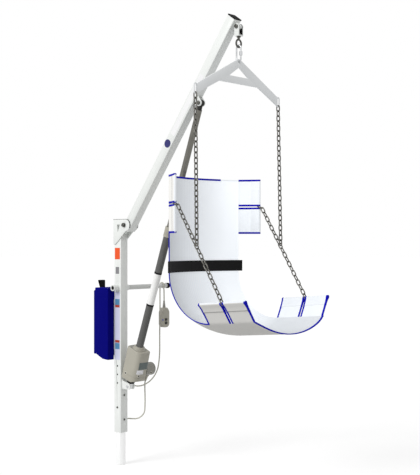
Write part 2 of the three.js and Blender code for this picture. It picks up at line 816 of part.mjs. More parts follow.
function makeTubeCollar() {
  const tubeBore = boreFor(tubeDiameter / 2);
  const rodBore = boreFor(rodDiameter / 2);
  const outer = collarDiameter / 2;
  return turned([[tubeBore, collarStart], [outer - weldBite, collarStart], [outer, collarStart + weldBite],
    [outer, collarEnd - weldBite], [outer - weldBite, collarEnd], [rodBore, collarEnd], [rodBore, tubeEnd + gap],
    [tubeBore, tubeEnd + gap], [tubeBore, collarStart]], unitX);
}

function makeRodTube() {
  return pipe(rodDiameter / 2, rodDiameter / 2 - rodWall, rodStart, actuatorLength - rodEyeShank, unitX);
}

function makeRodEye() {
  const eye = rod(rodEyeRadius, -rodEyeWidth / 2, rodEyeWidth / 2, unitY).translate(actuatorLength, 0, 0);
  const shoulder = actuatorLength - rodEyeShank + gap;
  const neckEnd = actuatorLength - rodEyeRadius / 2;
  const neck = drawnAlongX(roundedRectangle(rodEyeWidth, rodEyeWidth, rodEyeWidth / 5), neckEnd - shoulder);
  const plugRadius = rodDiameter / 2 - rodWall - gap;
  const collar = rod(rodDiameter / 2, shoulder, shoulder + rodWall, unitX);
  const plug = rod(plugRadius, shoulder - rodPlugLength, shoulder + weldBite, unitX);
  return joined(eye, neck.translate(shoulder, 0, 0), collar, plug);
}

addPiece(actuatorFrame, 'rear_eye', makeRearEye(), blackPlastic);
addPiece(actuatorFrame, 'actuator_housing', makeHousing(), beigePlastic);
addPiece(actuatorFrame, 'motor_can', makeMotorCan(), greyPlastic);
addPiece(actuatorFrame, 'cable_gland', makeCableGland(), greyPlastic);
addPiece(actuatorFrame, 'outer_tube', makeOuterTube(), tubePaint);
addPiece(actuatorFrame, 'tube_collar', makeTubeCollar(), beigePlastic);
addPiece(actuatorFrame, 'rod_tube', makeRodTube(), rodSteel);
addPiece(actuatorFrame, 'rod_eye', makeRodEye(), darkSteel);

// Push handle: a bar through a sleeve in the mast
function makeHandleSleeve() {
  return pipe(barDiameter / 2 + gap + sleeveWall, boreFor(barDiameter / 2), -sleeveNear, sleeveFar, unitY);
}

function makeHandleBar() {
  return pipe(barDiameter / 2, barDiameter / 2 - barWall, -sleeveNear + gap, barFar, unitY);
}

function makeHandleCap() {
  const inner = boreFor(barDiameter / 2);
  const outer = inner + handleCapWall;
  const mouth = barFar + handleCapEnd - handleCapLength;
  const end = barFar + handleCapEnd;
  return turned([[inner, mouth], [outer, mouth], [outer, end - handleCapWall], [outer - handleCapWall, end],
    [0, end], [0, barFar + gap], [inner, barFar + gap], [inner, mouth]], unitY);
}

addPiece(handleFrame, 'handle_sleeve', makeHandleSleeve(), whitePaint);
addPiece(handleFrame, 'handle_bar', makeHandleBar(), whitePaint);
addPiece(handleFrame, 'handle_cap', makeHandleCap(), blackPlastic);

// Hand control: hangs by its cord, which runs over the handle bar
const cordRadius = cordDiameter / 2;
const handsetReach = barDiameter / 2 + cordRadius + gap;
const handsetFrame = frameAt(mastFrame, handsetReach, handsetAcross, handsetTop - handsetHeight / 2);

function buttonHeights() {
  return [1, -1].map((side) => side * buttonSpacing / 2 - buttonBelowCentre);
}

// The shell is narrow at its shoulders and round at its foot.
function makeHandsetShell() {
  const half = handsetWidth / 2 - handsetEdge;
  const neck = handsetNeckWidth / 2 - handsetEdge;
  const top = handsetHeight / 2 - handsetEdge;
  const foot = handsetFoot - handsetEdge;
  const outline = new THREE.Shape();
  outline.moveTo(neck, top);
  outline.lineTo(-neck, top);
  outline.quadraticCurveTo(-half, top, -half, top - handsetShoulder);
  outline.lineTo(-half, foot - top);
  outline.absarc(foot - half, foot - top, foot, halfTurn, halfTurn + quarterTurn);
  outline.absarc(half - foot, foot - top, foot, halfTurn + quarterTurn, 2 * halfTurn);
  outline.lineTo(half, top - handsetShoulder);
  outline.quadraticCurveTo(half, top, neck, top);
  const shell = new THREE.ExtrudeGeometry(outline, {
    depth: handsetDepth - 2 * handsetEdge,
    bevelEnabled: true,
    bevelThickness: handsetEdge,
    bevelSize: handsetEdge,
    bevelSegments: 1,
    curveSegments: 3 * cornerSteps,
  });
  shell.applyMatrix4(new THREE.Matrix4().makeBasis(unitY, unitZ, unitX));
  shell.translate(handsetEdge - handsetDepth / 2, 0, 0);
  const pocket = roundedRectangle(buttonWidth + 2 * gap, buttonHeight + 2 * gap, buttonCorner + gap);
  const pockets = buttonHeights().map((height) => {
    return drawnAlongX(pocket, buttonPocket + overrun).translate(handsetDepth / 2 - buttonPocket, 0, height);
  });
  return cutBy(shell, ...pockets);
}

function makeButton(height) {
  const button = drawnAlongX(roundedRectangle(buttonWidth, buttonHeight, buttonCorner), buttonPocket);
  return button.translate(handsetDepth / 2 - buttonPocket + buttonProud, 0, height);
}

function makeHandsetRelief() {
  const start = handsetHeight / 2 + gap;
  const tip = cordRadius + 1;
  return turned([[0, start], [reliefRadius, start], [reliefRadius, start + reliefLength / 4],
    [tip, start + reliefLength], [0, start + reliefLength]], unitZ, smallSides);
}

addPiece(handsetFrame, 'handset_shell', makeHandsetShell(), beigePlastic);
addPiece(handsetFrame, 'button_up', makeButton(buttonHeights()[0]), greyPlastic);
addPiece(handsetFrame, 'button_down', makeButton(buttonHeights()[1]), greyPlastic);
addPiece(handsetFrame, 'handset_relief', makeHandsetRelief(), greyPlastic);

// Cords: each leaves the mast by a grommet on its far side
function makeGrommet() {
  const wall = mastSize / 2;
  const tip = cordRadius + 1;
  return turned([[0, wall - mastWall], [grommetStem, wall - mastWall], [grommetStem, wall + gap],
    [grommetRadius, wall + gap], [grommetRadius, wall + grommetFlange], [tip + 1, wall + grommetFlange + 1],
    [tip, wall + grommetFlange + grommetNose], [0, wall + grommetFlange + grommetNose]], unitY, smallSides);
}

// A cord's rings stand at equal parts of each stretch between its route points, so they crowd where it bends.
class RouteCurve extends THREE.CatmullRomCurve3 {
  getPointAt(part, target) {
    return this.getPoint(part, target);
  }

  getTangentAt(part, target) {
    return this.getTangent(part, target);
  }
}

function makeCord(route) {
  const steps = cordRingsPerStretch * (route.length - 1);
  const path = new RouteCurve(route.map(([x, y, z]) => new THREE.Vector3(x, y, z)), false, 'centripetal');
  const section = polygon(Array.from({ length: cordSides }, (_, i) => {
    const angle = 2 * halfTurn * i / cordSides;
    return [cordRadius * Math.cos(angle), cordRadius * Math.sin(angle)];
  }));
  return new THREE.ExtrudeGeometry(section, { steps, bevelEnabled: false, extrudePath: path });
}

const cordStart = mastSize / 2 + grommetFlange + grommetNose + cordEndGap;
const reliefEnd = handsetTop + reliefLength + gap + cordEndGap;
const glandEnd = glandBossEnd - gap - glandLength - cordEndGap;
const handsetCordRoute = [
  [0, cordStart, handsetCordHeight], [0, 48, 249.8], [-0.5, 78, 239], [-3, 125, 226], [-6, 180, 228],
  [-10.5, 240, 250], [-14, 286, 294], [-16.6, 306, 362], [-16.8, 309, 500], [-16.8, 311, 650],
  [-16.8, 311.5, 752], [-14.6, 311.2, 766.2], [-8.2, 310.6, 772.6], [0, 309.5, 774.6], [8.2, 308.4, 772.6],
  [14.6, 307.5, 766.2], [16.8, 307, 752], [handsetReach, handsetAcross, reliefEnd + 30],
  [handsetReach, handsetAcross, reliefEnd],
];
const cableStart = [
  lowerPinReach + glandEnd * Math.cos(actuatorAngle) + glandFront * Math.sin(actuatorAngle),
  glandAcross,
  lowerPinHeight + glandEnd * Math.sin(actuatorAngle) - glandFront * Math.cos(actuatorAngle),
];
const actuatorCordRoute = [
  cableStart, [cableStart[0] - 2.6, glandAcross, cableStart[2] - 9], [99.4, 78, 235], [100.6, 78, 150],
  [95, 76, 100], [62, 69, 70], [24, 60, 63], [4, 52, 63], [0, 43, 63],
  [0, cordStart, actuatorCordHeight],
];
addPiece(mastFrame, 'handset_grommet', makeGrommet(), blackPlastic).position.z = handsetCordHeight;
addPiece(mastFrame, 'cable_grommet', makeGrommet(), blackPlastic).position.z = actuatorCordHeight;
addPiece(mastFrame, 'handset_cord', makeCord(handsetCordRoute), cordSkin);
addPiece(mastFrame, 'actuator_cable', makeCord(actuatorCordRoute), cordSkin);

// Battery pack: a plate on the mast's back holds the control box and the battery, under a soft cover
const mastBack = -mastSize / 2;
const packFace = mastBack - gap - packPlateThickness;

function makePackPlate() {
  const height = packPlateTop - packPlateBottom;
  const plate = drawnAlongX(roundedRectangle(packPlateWidth, height, boxCorner), packPlateThickness);
  return plate.translate(packFace, 0, packPlateBottom + height / 2);
}

function makeControlBox() {
  const height = boxTop - boxBottom;
  const box = softBlock(boxDepth, boxWidth, height, boxCorner, boxEdge);
  box.translate(packFace - gap - boxDepth, 0, boxBottom + height / 2);
  const plugX = packFace - gap - boxDepth / 3;
  const plugs = [-1, 1].map((side) => {
    return rod(plugRadius, boxBottom - plugLength, boxBottom + boxEdge, unitZ, smallSides)
      .translate(plugX, side * plugSpacing / 2, 0);
  });
  return joined(box, ...plugs);
}

function makeBattery() {
  const bottom = boxTop + gap;
  const height = batteryTop - bottom;
  const back = packFace - gap - batteryDepth;
  const pack = softBlock(batteryDepth, batteryWidth, height, boxCorner, boxEdge);
  pack.translate(back, 0, bottom + height / 2);
  const grip = drawnAlongX(roundedRectangle(batteryGripWidth, batteryGripHeight, boxEdge), batteryGripDepth + overrun);
  return cutBy(pack, grip.translate(back - overrun, 0, batteryTop - 2 * batteryGripHeight));
}

function coverOutline(inset) {
  const front = mastBack - gap - inset;
  const back = -coverBack + inset;
  const top = coverTop - inset;
  const low = inset > 0 ? -overrun - inset : 0;
  const outline = new THREE.Shape();
  outline.moveTo(front, coverFront + low);
  outline.lineTo(front, top);
  outline.lineTo(back + coverStepDepth + coverCorner, top);
  outline.quadraticCurveTo(back + coverStepDepth, top, back + coverStepDepth, top - coverCorner);
  outline.lineTo(back + coverStepDepth, top - coverStepDrop);
  outline.lineTo(back, top - coverStepDrop);
  outline.lineTo(back, coverLip + low);
  outline.lineTo(-coverBack + coverLipDepth, coverLip + low);
  outline.lineTo(-coverBack + coverToeDepth, coverToe + low);
  return outline;
}

// The cover is open below, and slotted in front where it slides down over the pack's plate.
function makeCover() {
  const shell = plateAcrossY(coverOutline(0), 2 * coverHalfWidth);
  const room = plateAcrossY(coverOutline(coverWall), 2 * (coverHalfWidth - coverWall));
  const slotHeight = packPlateTop + overrun - coverFront;
  const slot = new THREE.BoxGeometry(2 * coverWall + overrun, packPlateWidth + overrun, slotHeight + overrun);
  slot.translate(mastBack - coverWall, 0, coverFront - overrun + (slotHeight + overrun) / 2);
  return cutBy(shell, room, slot);
}

// The strap is folded webbing, sewn flat to the cover's back, with an open loop above the cover's top.
function makeStrap() {
  const outer = polygon([[0, -strapSewnLength], [0, strapHeight], [-strapTopDepth, strapHeight], [-strapFootDepth, 0],
    [-strapFootDepth, -strapSewnLength]]);
  outer.holes.push(polygon([[-strapWebbing, 0], [strapWebbing - strapFootDepth, 0],
    [strapWebbing - strapTopDepth, strapHeight - strapWebbing], [-strapWebbing, strapHeight - strapWebbing]]));
  return plateAcrossY(outer, strapWidth).translate(-coverBack - gap, 0, coverTop);
}

addPiece(mastFrame, 'pack_plate', makePackPlate(), whitePaint);
addPiece(mastFrame, 'control_box', makeControlBox(), greyPlastic);
addPiece(mastFrame, 'battery', makeBattery(), greyPlastic);
addPiece(mastFrame, 'battery_cover', makeCover(), navyCover);
addPiece(mastFrame, 'cover_strap', makeStrap(), blackWebbing);

// The corner radius of a flat-sided section that holds as much metal as round wire, and its flats' distance.
function sectionRadius(wire, sides) {
  return wire / 2 * Math.sqrt(2 * halfTurn / (sides * Math.sin(2 * halfTurn / sides)));
}

function sectionFlat(wire, sides) {
  return sectionRadius(wire, sides) * Math.cos(halfTurn / sides);
}

// A ring of wire bent to an oblong with cut corners. It lies across x and y with its length along x.
function wireLink(centreLength, centreWidth, wire, sides) {
  const turn = sides % 2 ? 0 : halfTurn / sides;
  const radius = sectionRadius(wire, sides);
  const reach = centreLength / 2;
  const half = centreWidth / 2;
  const nip = half * (2 - Math.SQRT2);
  const corners = [[reach, nip - half], [reach, half - nip], [reach - nip, half], [nip - reach, half],
    [-reach, half - nip], [-reach, nip - half], [nip - reach, -half], [reach - nip, -half]];
  const points = [];
  const faces = [];
  corners.forEach(([x, y], i) => {
    const bisector = halfTurn / 8 + (i - 1) * halfTurn / 4;
    for (let k = 0; k < sides; k += 1) {
      const angle = turn + 2 * halfTurn * k / sides;
      const out = radius * Math.cos(angle) / Math.cos(halfTurn / 8);
      const lift = radius * Math.sin(angle);
      points.push(new THREE.Vector3(x + out * Math.cos(bisector), y + out * Math.sin(bisector), lift));
      const a = i * sides + k;
      const b = i * sides + (k + 1) % sides;
      const c = ((i + 1) % 8) * sides + k;
      const d = ((i + 1) % 8) * sides + (k + 1) % sides;
      faces.push([a, c, b], [b, c, d]);
    }
  });
  return closedMesh(points, faces);
}

// Places a link with its length along one direction and its width along another.
function linkAt(centre, lengthWise, widthWise, centreLength) {
  const link = wireLink(centreLength, chainWidth, chainWire, chainSides);
  const across = lengthWise.clone().cross(widthWise);
  const place = new THREE.Matrix4().makeBasis(lengthWise, widthWise, across).setPosition(centre);
  return link.applyMatrix4(place);
}

// The inner face of the wire is a flat of its section.
const wireInner = sectionFlat(chainWire, chainSides);
const wireCorner = sectionRadius(chainWire, chainSides);
const contactSpan = 2 * wireInner - chainBite;

// A run of links from one contact point to the other, turned a quarter at each link.
function chainRun(from, to, count, firstWidth) {
  const step = to.clone().sub(from).divideScalar(count);
  const lengthWise = step.clone().normalize();
  const otherWidth = lengthWise.clone().cross(firstWidth).normalize();
  const trueFirst = otherWidth.clone().cross(lengthWise).normalize();
  return Array.from({ length: count }, (_, i) => {
    const centre = from.clone().addScaledVector(step, i + 0.5);
    return linkAt(centre, lengthWise, i % 2 ? otherWidth : trueFirst, step.length() + contactSpan);
  });
}

// Hanging clevis, eye bolt and quick link, all drawn from the tip pin down
const webTop = -clevisWebDrop + clevisWebThickness;

function makeClevis() {
  const half = clevisDepth / 2;
  const leg = new THREE.Shape();
  leg.moveTo(-half, -clevisWebDrop);
  leg.lineTo(half, -clevisWebDrop);
  leg.lineTo(half, 0);
  leg.absarc(0, 0, clevisTopRadius, 0, halfTurn);
  const middle = clevisInner + clevisThickness / 2;
  const legs = [-1, 1].map((side) => plateAcrossY(leg, clevisThickness, side * middle, smallSides / 3));
  const web = new THREE.BoxGeometry(clevisDepth, 2 * clevisInner + clevisThickness, clevisWebThickness);
  web.translate(0, 0, -clevisWebDrop + clevisWebThickness / 2);
  const pinBore = rod(boreFor(tipPinDiameter / 2, smallSides), -2 * middle, 2 * middle, unitY, smallSides);
  const stemBore = rod(boreFor(stemDiameter / 2, smallSides), -2 * clevisWebDrop, webTop + overrun, unitZ, smallSides);
  return cutBy(joined(web, ...legs), pinBore, stemBore);
}

function makeEyeBolt() {
  const ring = new THREE.TorusGeometry(eyeRingRadius, eyeRingWire / 2, ringSides, 2 * ringSides);
  ring.rotateY(quarterTurn).translate(0, 0, -eyeRingDrop);
  const ringTop = -eyeRingDrop + eyeRingRadius;
  const collarTop = -clevisWebDrop - gap;
  const stemTop = webTop + gap + stemNutHeight + stemProud;
  const stem = turned([[0, ringTop], [stemDiameter / 2, ringTop], [stemDiameter / 2, collarTop - stemCollarHeight],
    [stemCollarDiameter / 2, collarTop - stemCollarHeight], [stemCollarDiameter / 2, collarTop],
    [stemDiameter / 2, collarTop], [stemDiameter / 2, stemTop], [0, stemTop]], unitZ, smallSides);
  return joined(ring, stem);
}

function makeStemNut() {
  const start = webTop + gap;
  const nut = hexagon(stemNutWidth, start, start + stemNutHeight, unitZ);
  const bore = boreFor(stemDiameter / 2, smallSides);
  return cutBy(nut, rod(bore, start - overrun, start + 2 * stemNutHeight, unitZ, smallSides));
}

const quickCorner = sectionRadius(quickWire, quickSides);
const quickTop = -eyeRingDrop - eyeRingRadius + eyeRingWire / 2 + gap + quickCorner;
const quickBottom = quickTop - quickLength;
const spreaderHoleTop = quickBottom + gap + quickCorner;
const apexDrop = spreaderHoleTop - spreaderHoleRadius + spreaderApexMargin;

// The quick link's plane holds the plumb line and the boom's way.
function makeQuickLink() {
  const link = wireLink(quickLength, quickWidth, quickWire, quickSides);
  const down = unitZ.clone().negate();
  link.applyMatrix4(new THREE.Matrix4().makeBasis(down, unitX, down.clone().cross(unitX)));
  const sleeve = hexagon(quickSleeveWidth, -quickSleeveLength / 2, quickSleeveLength / 2, unitZ);
  sleeve.translate(quickWidth / 2, 0, 0);
  return joined(link, sleeve).translate(0, 0, (quickTop + quickBottom) / 2);
}

const armLinkHeight = apexDrop - armLinkDrop;
const armLinkBottom = armLinkHeight - armLinkLength / 2;

// The spreader is a flat plate with a welded link at each end.
function makeSpreader() {
  const end = spreaderHalf - chainWidth / 2 - armLinkWire / 2 + weldBite;
  const top = apexDrop;
  const shoulder = spreaderThickness;
  const slope = spreaderEndTop / end;
  const outline = polygon([
    [shoulder, top - shoulder * slope / 2], [-shoulder, top - shoulder * slope / 2],
    [-end, top - spreaderEndTop], [-end, top - spreaderEndBottom], [-spreaderKneeHalf, top - spreaderKneeDrop],
    [spreaderKneeHalf, top - spreaderKneeDrop], [end, top - spreaderEndBottom], [end, top - spreaderEndTop]]);
  outline.holes.push(roundedTriangle(triangleHalf, top - triangleTop, top - triangleBottom, triangleCorner));
  const plate = drawnAlongX(outline, spreaderThickness, smallSides / 3).translate(-spreaderThickness / 2, 0, 0);
  const hole = rod(spreaderHoleRadius / Math.cos(halfTurn / smallSides), -spreaderThickness, spreaderThickness, unitX,
    smallSides);
  hole.translate(0, 0, spreaderHoleTop - spreaderHoleRadius);
  const down = unitZ.clone().negate();
  const links = [-1, 1].map((side) => {
    const link = wireLink(armLinkLength, chainWidth, armLinkWire, armLinkSides);
    link.applyMatrix4(new THREE.Matrix4().makeBasis(down, unitY, down.clone().cross(unitY)));
    return link.translate(0, side * spreaderHalf, armLinkHeight);
  });
  return joined(cutBy(plate, hole), ...links);
}

function roundedTriangle(half, top, bottom, corner) {
  const slope = Math.atan2(top - bottom, half);
  const run = corner * Math.cos(slope);
  const rise = corner * Math.sin(slope);
  const shape = new THREE.Shape();
  shape.moveTo(half - corner, bottom);
  shape.quadraticCurveTo(half, bottom, half - run, bottom + rise);
  shape.lineTo(run, top - rise);
  shape.quadraticCurveTo(0, top, -run, top - rise);
  shape.lineTo(run - half, bottom + rise);
  shape.quadraticCurveTo(-half, bottom, corner - half, bottom);
  return shape;
}

addPiece(hangFrame, 'hanger_clevis', makeClevis(), whitePaint);
addPiece(hangFrame, 'eye_bolt', makeEyeBolt(), darkSteel);
addPiece(hangFrame, 'stem_nut', makeStemNut(), darkSteel);
addPiece(hangFrame, 'quick_link', makeQuickLink(), brightSteel);
addPiece(hangFrame, 'spreader_plate', makeSpreader(), spreaderPaint);

// Seat sling: one section is swept down the back, round the seat's arc and out to the front.
// The section's across runs along Y. Its rise is measured from the knee line, into the seat.
const lean = radians(earLean);
const slope = radians(seatSlope);
const hemRadius = boreFor(hemRodDiameter / 2, hemBoreSides) + hemFabric;
const hemRodAlong = earWidth - hemRadius;
const earSheetEnd = hemRodAlong - hemRodDiameter / 2 - 2 * gap - hemFabric;

// Points down the knee line: x and z from the arc's centre, and the way into the seat.
function seatPathPoint(distance) {
  const arcLength = seatArcRadius * (quarterTurn + slope);
  if (distance < seatBackHeight) {
    return { x: -seatArcRadius, z: seatBackHeight - distance, inX: 1, inZ: 0 };
  }
  if (distance < seatBackHeight + arcLength) {
    const angle = halfTurn + (distance - seatBackHeight) / seatArcRadius;
    return { x: seatArcRadius * Math.cos(angle), z: seatArcRadius * Math.sin(angle), inX: -Math.cos(angle),
      inZ: -Math.sin(angle) };
  }
  const run = distance - seatBackHeight - arcLength;
  const inX = -Math.sin(slope);
  const inZ = Math.cos(slope);
  return { x: -seatArcRadius * inX + run * inZ, z: -seatArcRadius * inZ - run * inX, inX, inZ };
}

const seatArcLength = seatArcRadius * (quarterTurn + slope);
const frontStart = seatBackHeight + seatArcLength;
const tabLength = (earLength - earGap) / 2;

function tabStops(start) {
  return [start, start + tabLength, start + tabLength + earGap, start + earLength];
}

// The sling's section: a sagging arc between the knees, and a straight ear beyond each knee.
const sagRadius = (kneeHalf ** 2 + slingSag ** 2) / (2 * slingSag);

function sectionPoints() {
  const points = [];
  const kneeAngle = Math.asin(kneeHalf / sagRadius);
  points.push({ across: -kneeHalf - earSheetEnd * Math.cos(lean), rise: earSheetEnd * Math.sin(lean), turn: -lean });
  for (let i = 0; i <= slingSteps; i += 1) {
    const angle = -kneeAngle + 2 * kneeAngle * i / slingSteps;
    const atKnee = i === 0 || i === slingSteps;
    const turn = atKnee ? Math.sign(angle) * (kneeAngle + lean) / 2 : angle;
    const rise = sagRadius - slingSag - sagRadius * Math.cos(angle);
    points.push({ across: sagRadius * Math.sin(angle), rise, turn });
  }
  points.push({ across: kneeHalf + earSheetEnd * Math.cos(lean), rise: earSheetEnd * Math.sin(lean), turn: lean });
  return points;
}

function slingPoint(distance, { across, rise, turn }, lifted) {
  const path = seatPathPoint(distance);
  const height = rise + lifted * Math.cos(turn);
  return new THREE.Vector3(path.x + height * path.inX, across - lifted * Math.sin(turn), path.z + height * path.inZ);
}

// A sheet with square-cut tabs: cells of the grid that are kept get two faces and their open edges get a wall.
function makeSlingSheet() {
  const stops = [...tabStops(0), seatBackHeight];
  for (let i = 1; i < seatArcSteps; i += 1) {
    stops.push(seatBackHeight + seatArcLength * i / seatArcSteps);
  }
  stops.push(...tabStops(frontStart), frontStart + earLength + seatFrontLip);
  const section = sectionPoints();
  const isEar = (column) => column === 0 || column === section.length - 2;
  const rowMiddle = (row) => (stops[row] + stops[row + 1]) / 2;
  const inTab = (distance) => [0, frontStart].some((start) => {
    const [a, b, c, d] = tabStops(start);
    return (distance > a && distance < b) || (distance > c && distance < d);
  });
  const kept = (row, column) => {
    if (row < 0 || column < 0 || row > stops.length - 2 || column > section.length - 2) {
      return false;
    }
    return !isEar(column) || inTab(rowMiddle(row));
  };
  const points = [];
  const index = (row, column, face) => 2 * (row * section.length + column) + face;
  for (const stop of stops) {
    for (const place of section) {
      points.push(slingPoint(stop, place, -slingThickness / 2), slingPoint(stop, place, slingThickness / 2));
    }
  }
  const faces = [];
  const quad = (a, b, c, d) => faces.push([a, b, c], [a, c, d]);
  for (let row = 0; row < stops.length - 1; row += 1) {
    for (let column = 0; column < section.length - 1; column += 1) {
      if (!kept(row, column)) {
        continue;
      }
      const low = [index(row, column, 0), index(row, column + 1, 0), index(row + 1, column + 1, 0),
        index(row + 1, column, 0)];
      const high = low.map((corner) => corner + 1);
      quad(...low);
      quad(...[...high].reverse());
      const neighbours = [[row - 1, column], [row, column + 1], [row + 1, column], [row, column - 1]];
      neighbours.forEach(([r, c], side) => {
        if (!kept(r, c)) {
          const next = (side + 1) % 4;
          quad(low[next], low[side], high[side], high[next]);
        }
      });
    }
  }
  const used = new Map();
  const packed = [];
  const renumber = (corner) => {
    if (!used.has(corner)) {
      used.set(corner, packed.length);
      packed.push(points[corner]);
    }
    return used.get(corner);
  };
  const numbered = faces.map((face) => face.map(renumber));
  return closedMesh(packed, numbered);
}

// The place of an ear's rod at a distance down the knee line, as a point in the seat's frame.
function hemRodPoint(distance, side) {
  const path = seatPathPoint(distance);
  const rise = hemRodAlong * Math.sin(lean);
  const across = side * (kneeHalf + hemRodAlong * Math.cos(lean));
  return new THREE.Vector3(path.x + rise * path.inX, across, path.z + rise * path.inZ);
}

// Directions at a straight stretch: down the knee line, out along the ear, and square to the ear.
function earDirections(distance, side) {
  const here = seatPathPoint(distance);
  const downLine = new THREE.Vector3(here.inZ, 0, -here.inX);
  const inward = new THREE.Vector3(here.inX, 0, here.inZ);
  const outward = unitY.clone().multiplyScalar(side * Math.cos(lean)).addScaledVector(inward, Math.sin(lean));
  return { downLine, outward, square: downLine.clone().cross(outward), inward };
}

// Each tab's outer edge is folded back over the rod and sewn down, which leaves a tapering sleeve.
function makeHem(start, end, side) {
  const { downLine, outward, square } = earDirections((start + end) / 2, side);
  const inner = slingThickness / 2;
  const outline = new THREE.Shape();
  outline.moveTo(-hemFold, inner + gap);
  outline.lineTo(-hemFold, -inner - gap);
  const tangent = radians(100);
  outline.lineTo(hemRadius * Math.cos(-tangent), hemRadius * Math.sin(-tangent));
  outline.absarc(0, 0, hemRadius, -tangent, tangent);
  const boreRadius = boreFor(hemRodDiameter / 2, hemBoreSides);
  outline.holes.push(polygon(Array.from({ length: hemBoreSides }, (_, i) => {
    const angle = 2 * halfTurn * i / hemBoreSides;
    return [boreRadius * Math.cos(angle), boreRadius * Math.sin(angle)];
  })));
  const length = end - start - 2 * gap;
  const hem = drawnUp(outline, length, hemBoreSides / 2);
  const corner = hemRodPoint(start + gap, side);
  const upright = outward.clone().cross(square);
  const flip = Math.sign(upright.dot(downLine));
  const basis = new THREE.Matrix4().makeBasis(outward, square.clone().multiplyScalar(flip), downLine);
  return hem.applyMatrix4(basis.setPosition(corner));
}

function makeSling() {
  const hems = [];
  for (const start of [0, frontStart]) {
    const [a, b, c, d] = tabStops(start);
    for (const side of [-1, 1]) {
      hems.push(makeHem(a, b, side), makeHem(c, d, side));
    }
  }
  return joined(makeSlingSheet(), ...hems);
}

function makeHemRod(start, side) {
  const { downLine } = earDirections(start + earLength / 2, side);
  const middle = hemRodPoint(start + earLength / 2, side);
  const half = earLength / 2 - hemRodShort;
  return rod(hemRodDiameter / 2, -half, half, downLine, smallSides).translate(middle.x, middle.y, middle.z);
}

// The safety belt goes round the back just above the seat's arc, close to the fabric all the way.
function makeBelt() {
  const ring = (offset) => {
    const angle = Math.asin(kneeHalf / sagRadius);
    const centre = sagRadius - slingSag;
    const reach = angle + (beltPastKnee + offset) / sagRadius;
    const inner = sagRadius - offset;
    const outer = sagRadius + offset;
    const place = (radius, turn) => [centre - radius * Math.cos(turn) - seatArcRadius, radius * Math.sin(turn)];
    const turns = Array.from({ length: slingSteps + 1 }, (_, i) => reach * (2 * i / slingSteps - 1));
    return [...turns.map((turn) => place(outer, turn)), ...turns.reverse().map((turn) => place(inner, turn))];
  };
  const clear = slingThickness / 2 + 2 * gap;
  const whole = drawnUp(polygon(ring(clear + beltThickness)), beltWidth);
  const room = drawnUp(polygon(ring(clear)), 2 * beltWidth).translate(0, 0, -beltWidth / 2);
  return cutBy(whole, room).translate(0, 0, beltAboveArc);
}

// Suspension chains: a run from rod to rod on each side, hooked up at its ninth link
const backMiddle = earLength / 2;
const frontMiddle = frontStart + earLength / 2;
const tilt = radians(endLinkTilt);
const rodSeat = (hemRodDiameter / 2 + gap) / Math.cos(tilt) + wireInner * (1 + Math.tan(tilt));

// The end link lies round the rod in the gap between the tabs, tilted a little towards the chain.
function endLink(distance, side, towards) {
  const { inward, downLine } = earDirections(distance, side);
  const lengthWise = inward.clone().multiplyScalar(Math.cos(tilt)).addScaledVector(downLine, towards * Math.sin(tilt));
  const centreLength = chainPitch + contactSpan;
  const at = hemRodPoint(distance, side);
  const centre = at.clone().addScaledVector(lengthWise, centreLength / 2 - rodSeat);
  const contact = centre.clone().addScaledVector(lengthWise, (centreLength - contactSpan) / 2);
  return { link: linkAt(centre, lengthWise, unitY, centreLength), contact };
}

function sideChain(side) {
  const back = endLink(backMiddle, side, 1);
  const front = endLink(frontMiddle, side, -1);
  const span = back.contact.distanceTo(front.contact);
  const count = 2 * Math.round((span / chainPitch - 1) / 2) + 1;
  const way = front.contact.clone().sub(back.contact).normalize();
  const plane = unitY.clone().cross(way).normalize();
  const links = chainRun(back.contact, front.contact, count, plane);
  const hooked = back.contact.clone().addScaledVector(way, span * (junctionBackLinks + 0.5) / count);
  const hookOffset = chainWidth / 2 - wireInner - gap - wireCorner;
  const upward = plane.z > 0 ? plane : plane.clone().negate();
  const hook = hooked.clone().addScaledVector(upward, hookOffset);
  return { geometry: joined(back.link, ...links, front.link), hook };
}

const leftChain = sideChain(-1);
const rightChain = sideChain(1);

// The hanging run starts round the spreader's end link and ends inside the side chain's ninth link.
const topBow = armLinkBottom + sectionRadius(armLinkWire, armLinkSides) + gap + wireInner;
const seatDrop = topBow - chainDrop;
const seatFrame = frameAt(hangFrame, seatAhead - leftChain.hook.x, 0, seatDrop - leftChain.hook.z);

function hangingChain(side, hook) {
  const from = new THREE.Vector3(0, side * spreaderHalf, topBow - contactSpan / 2);
  const hookInHang = hook.clone().add(seatFrame.position);
  const to = hookInHang.clone().add(new THREE.Vector3(0, 0, contactSpan / 2));
  const count = 2 * Math.round(from.distanceTo(to) / (2 * chainPitch));
  const links = chainRun(from, to, count, unitX);
  return joined(...links);
}

addPiece(hangFrame, 'hanging_chain_left', hangingChain(-1, leftChain.hook), darkSteel);
addPiece(hangFrame, 'hanging_chain_right', hangingChain(1, rightChain.hook), darkSteel);
addPiece(seatFrame, 'side_chain_left', leftChain.geometry, darkSteel);
addPiece(seatFrame, 'side_chain_right', rightChain.geometry, darkSteel);
addPiece(seatFrame, 'seat_sling', makeSling(), slingFabric);
addPiece(seatFrame, 'seat_belt', makeBelt(), blackWebbing);
[['back', 0], ['front', frontStart]].forEach(([place, start]) => {
  addPiece(seatFrame, `${place}_rod_left`, makeHemRod(start, -1), brightSteel);
  addPiece(seatFrame, `${place}_rod_right`, makeHemRod(start, 1), brightSteel);
});

export default lift;
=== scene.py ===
# A lift that carries a person over the edge of a pool: a mast on a round deck post, a boom raised by an
# electric actuator, and a cloth seat that hangs on chains. Metres, +Z up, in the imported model's frame.
import json
from math import asin, atan2, cos, pi, radians, sin, sqrt

import bpy
from mathutils import Matrix, Vector


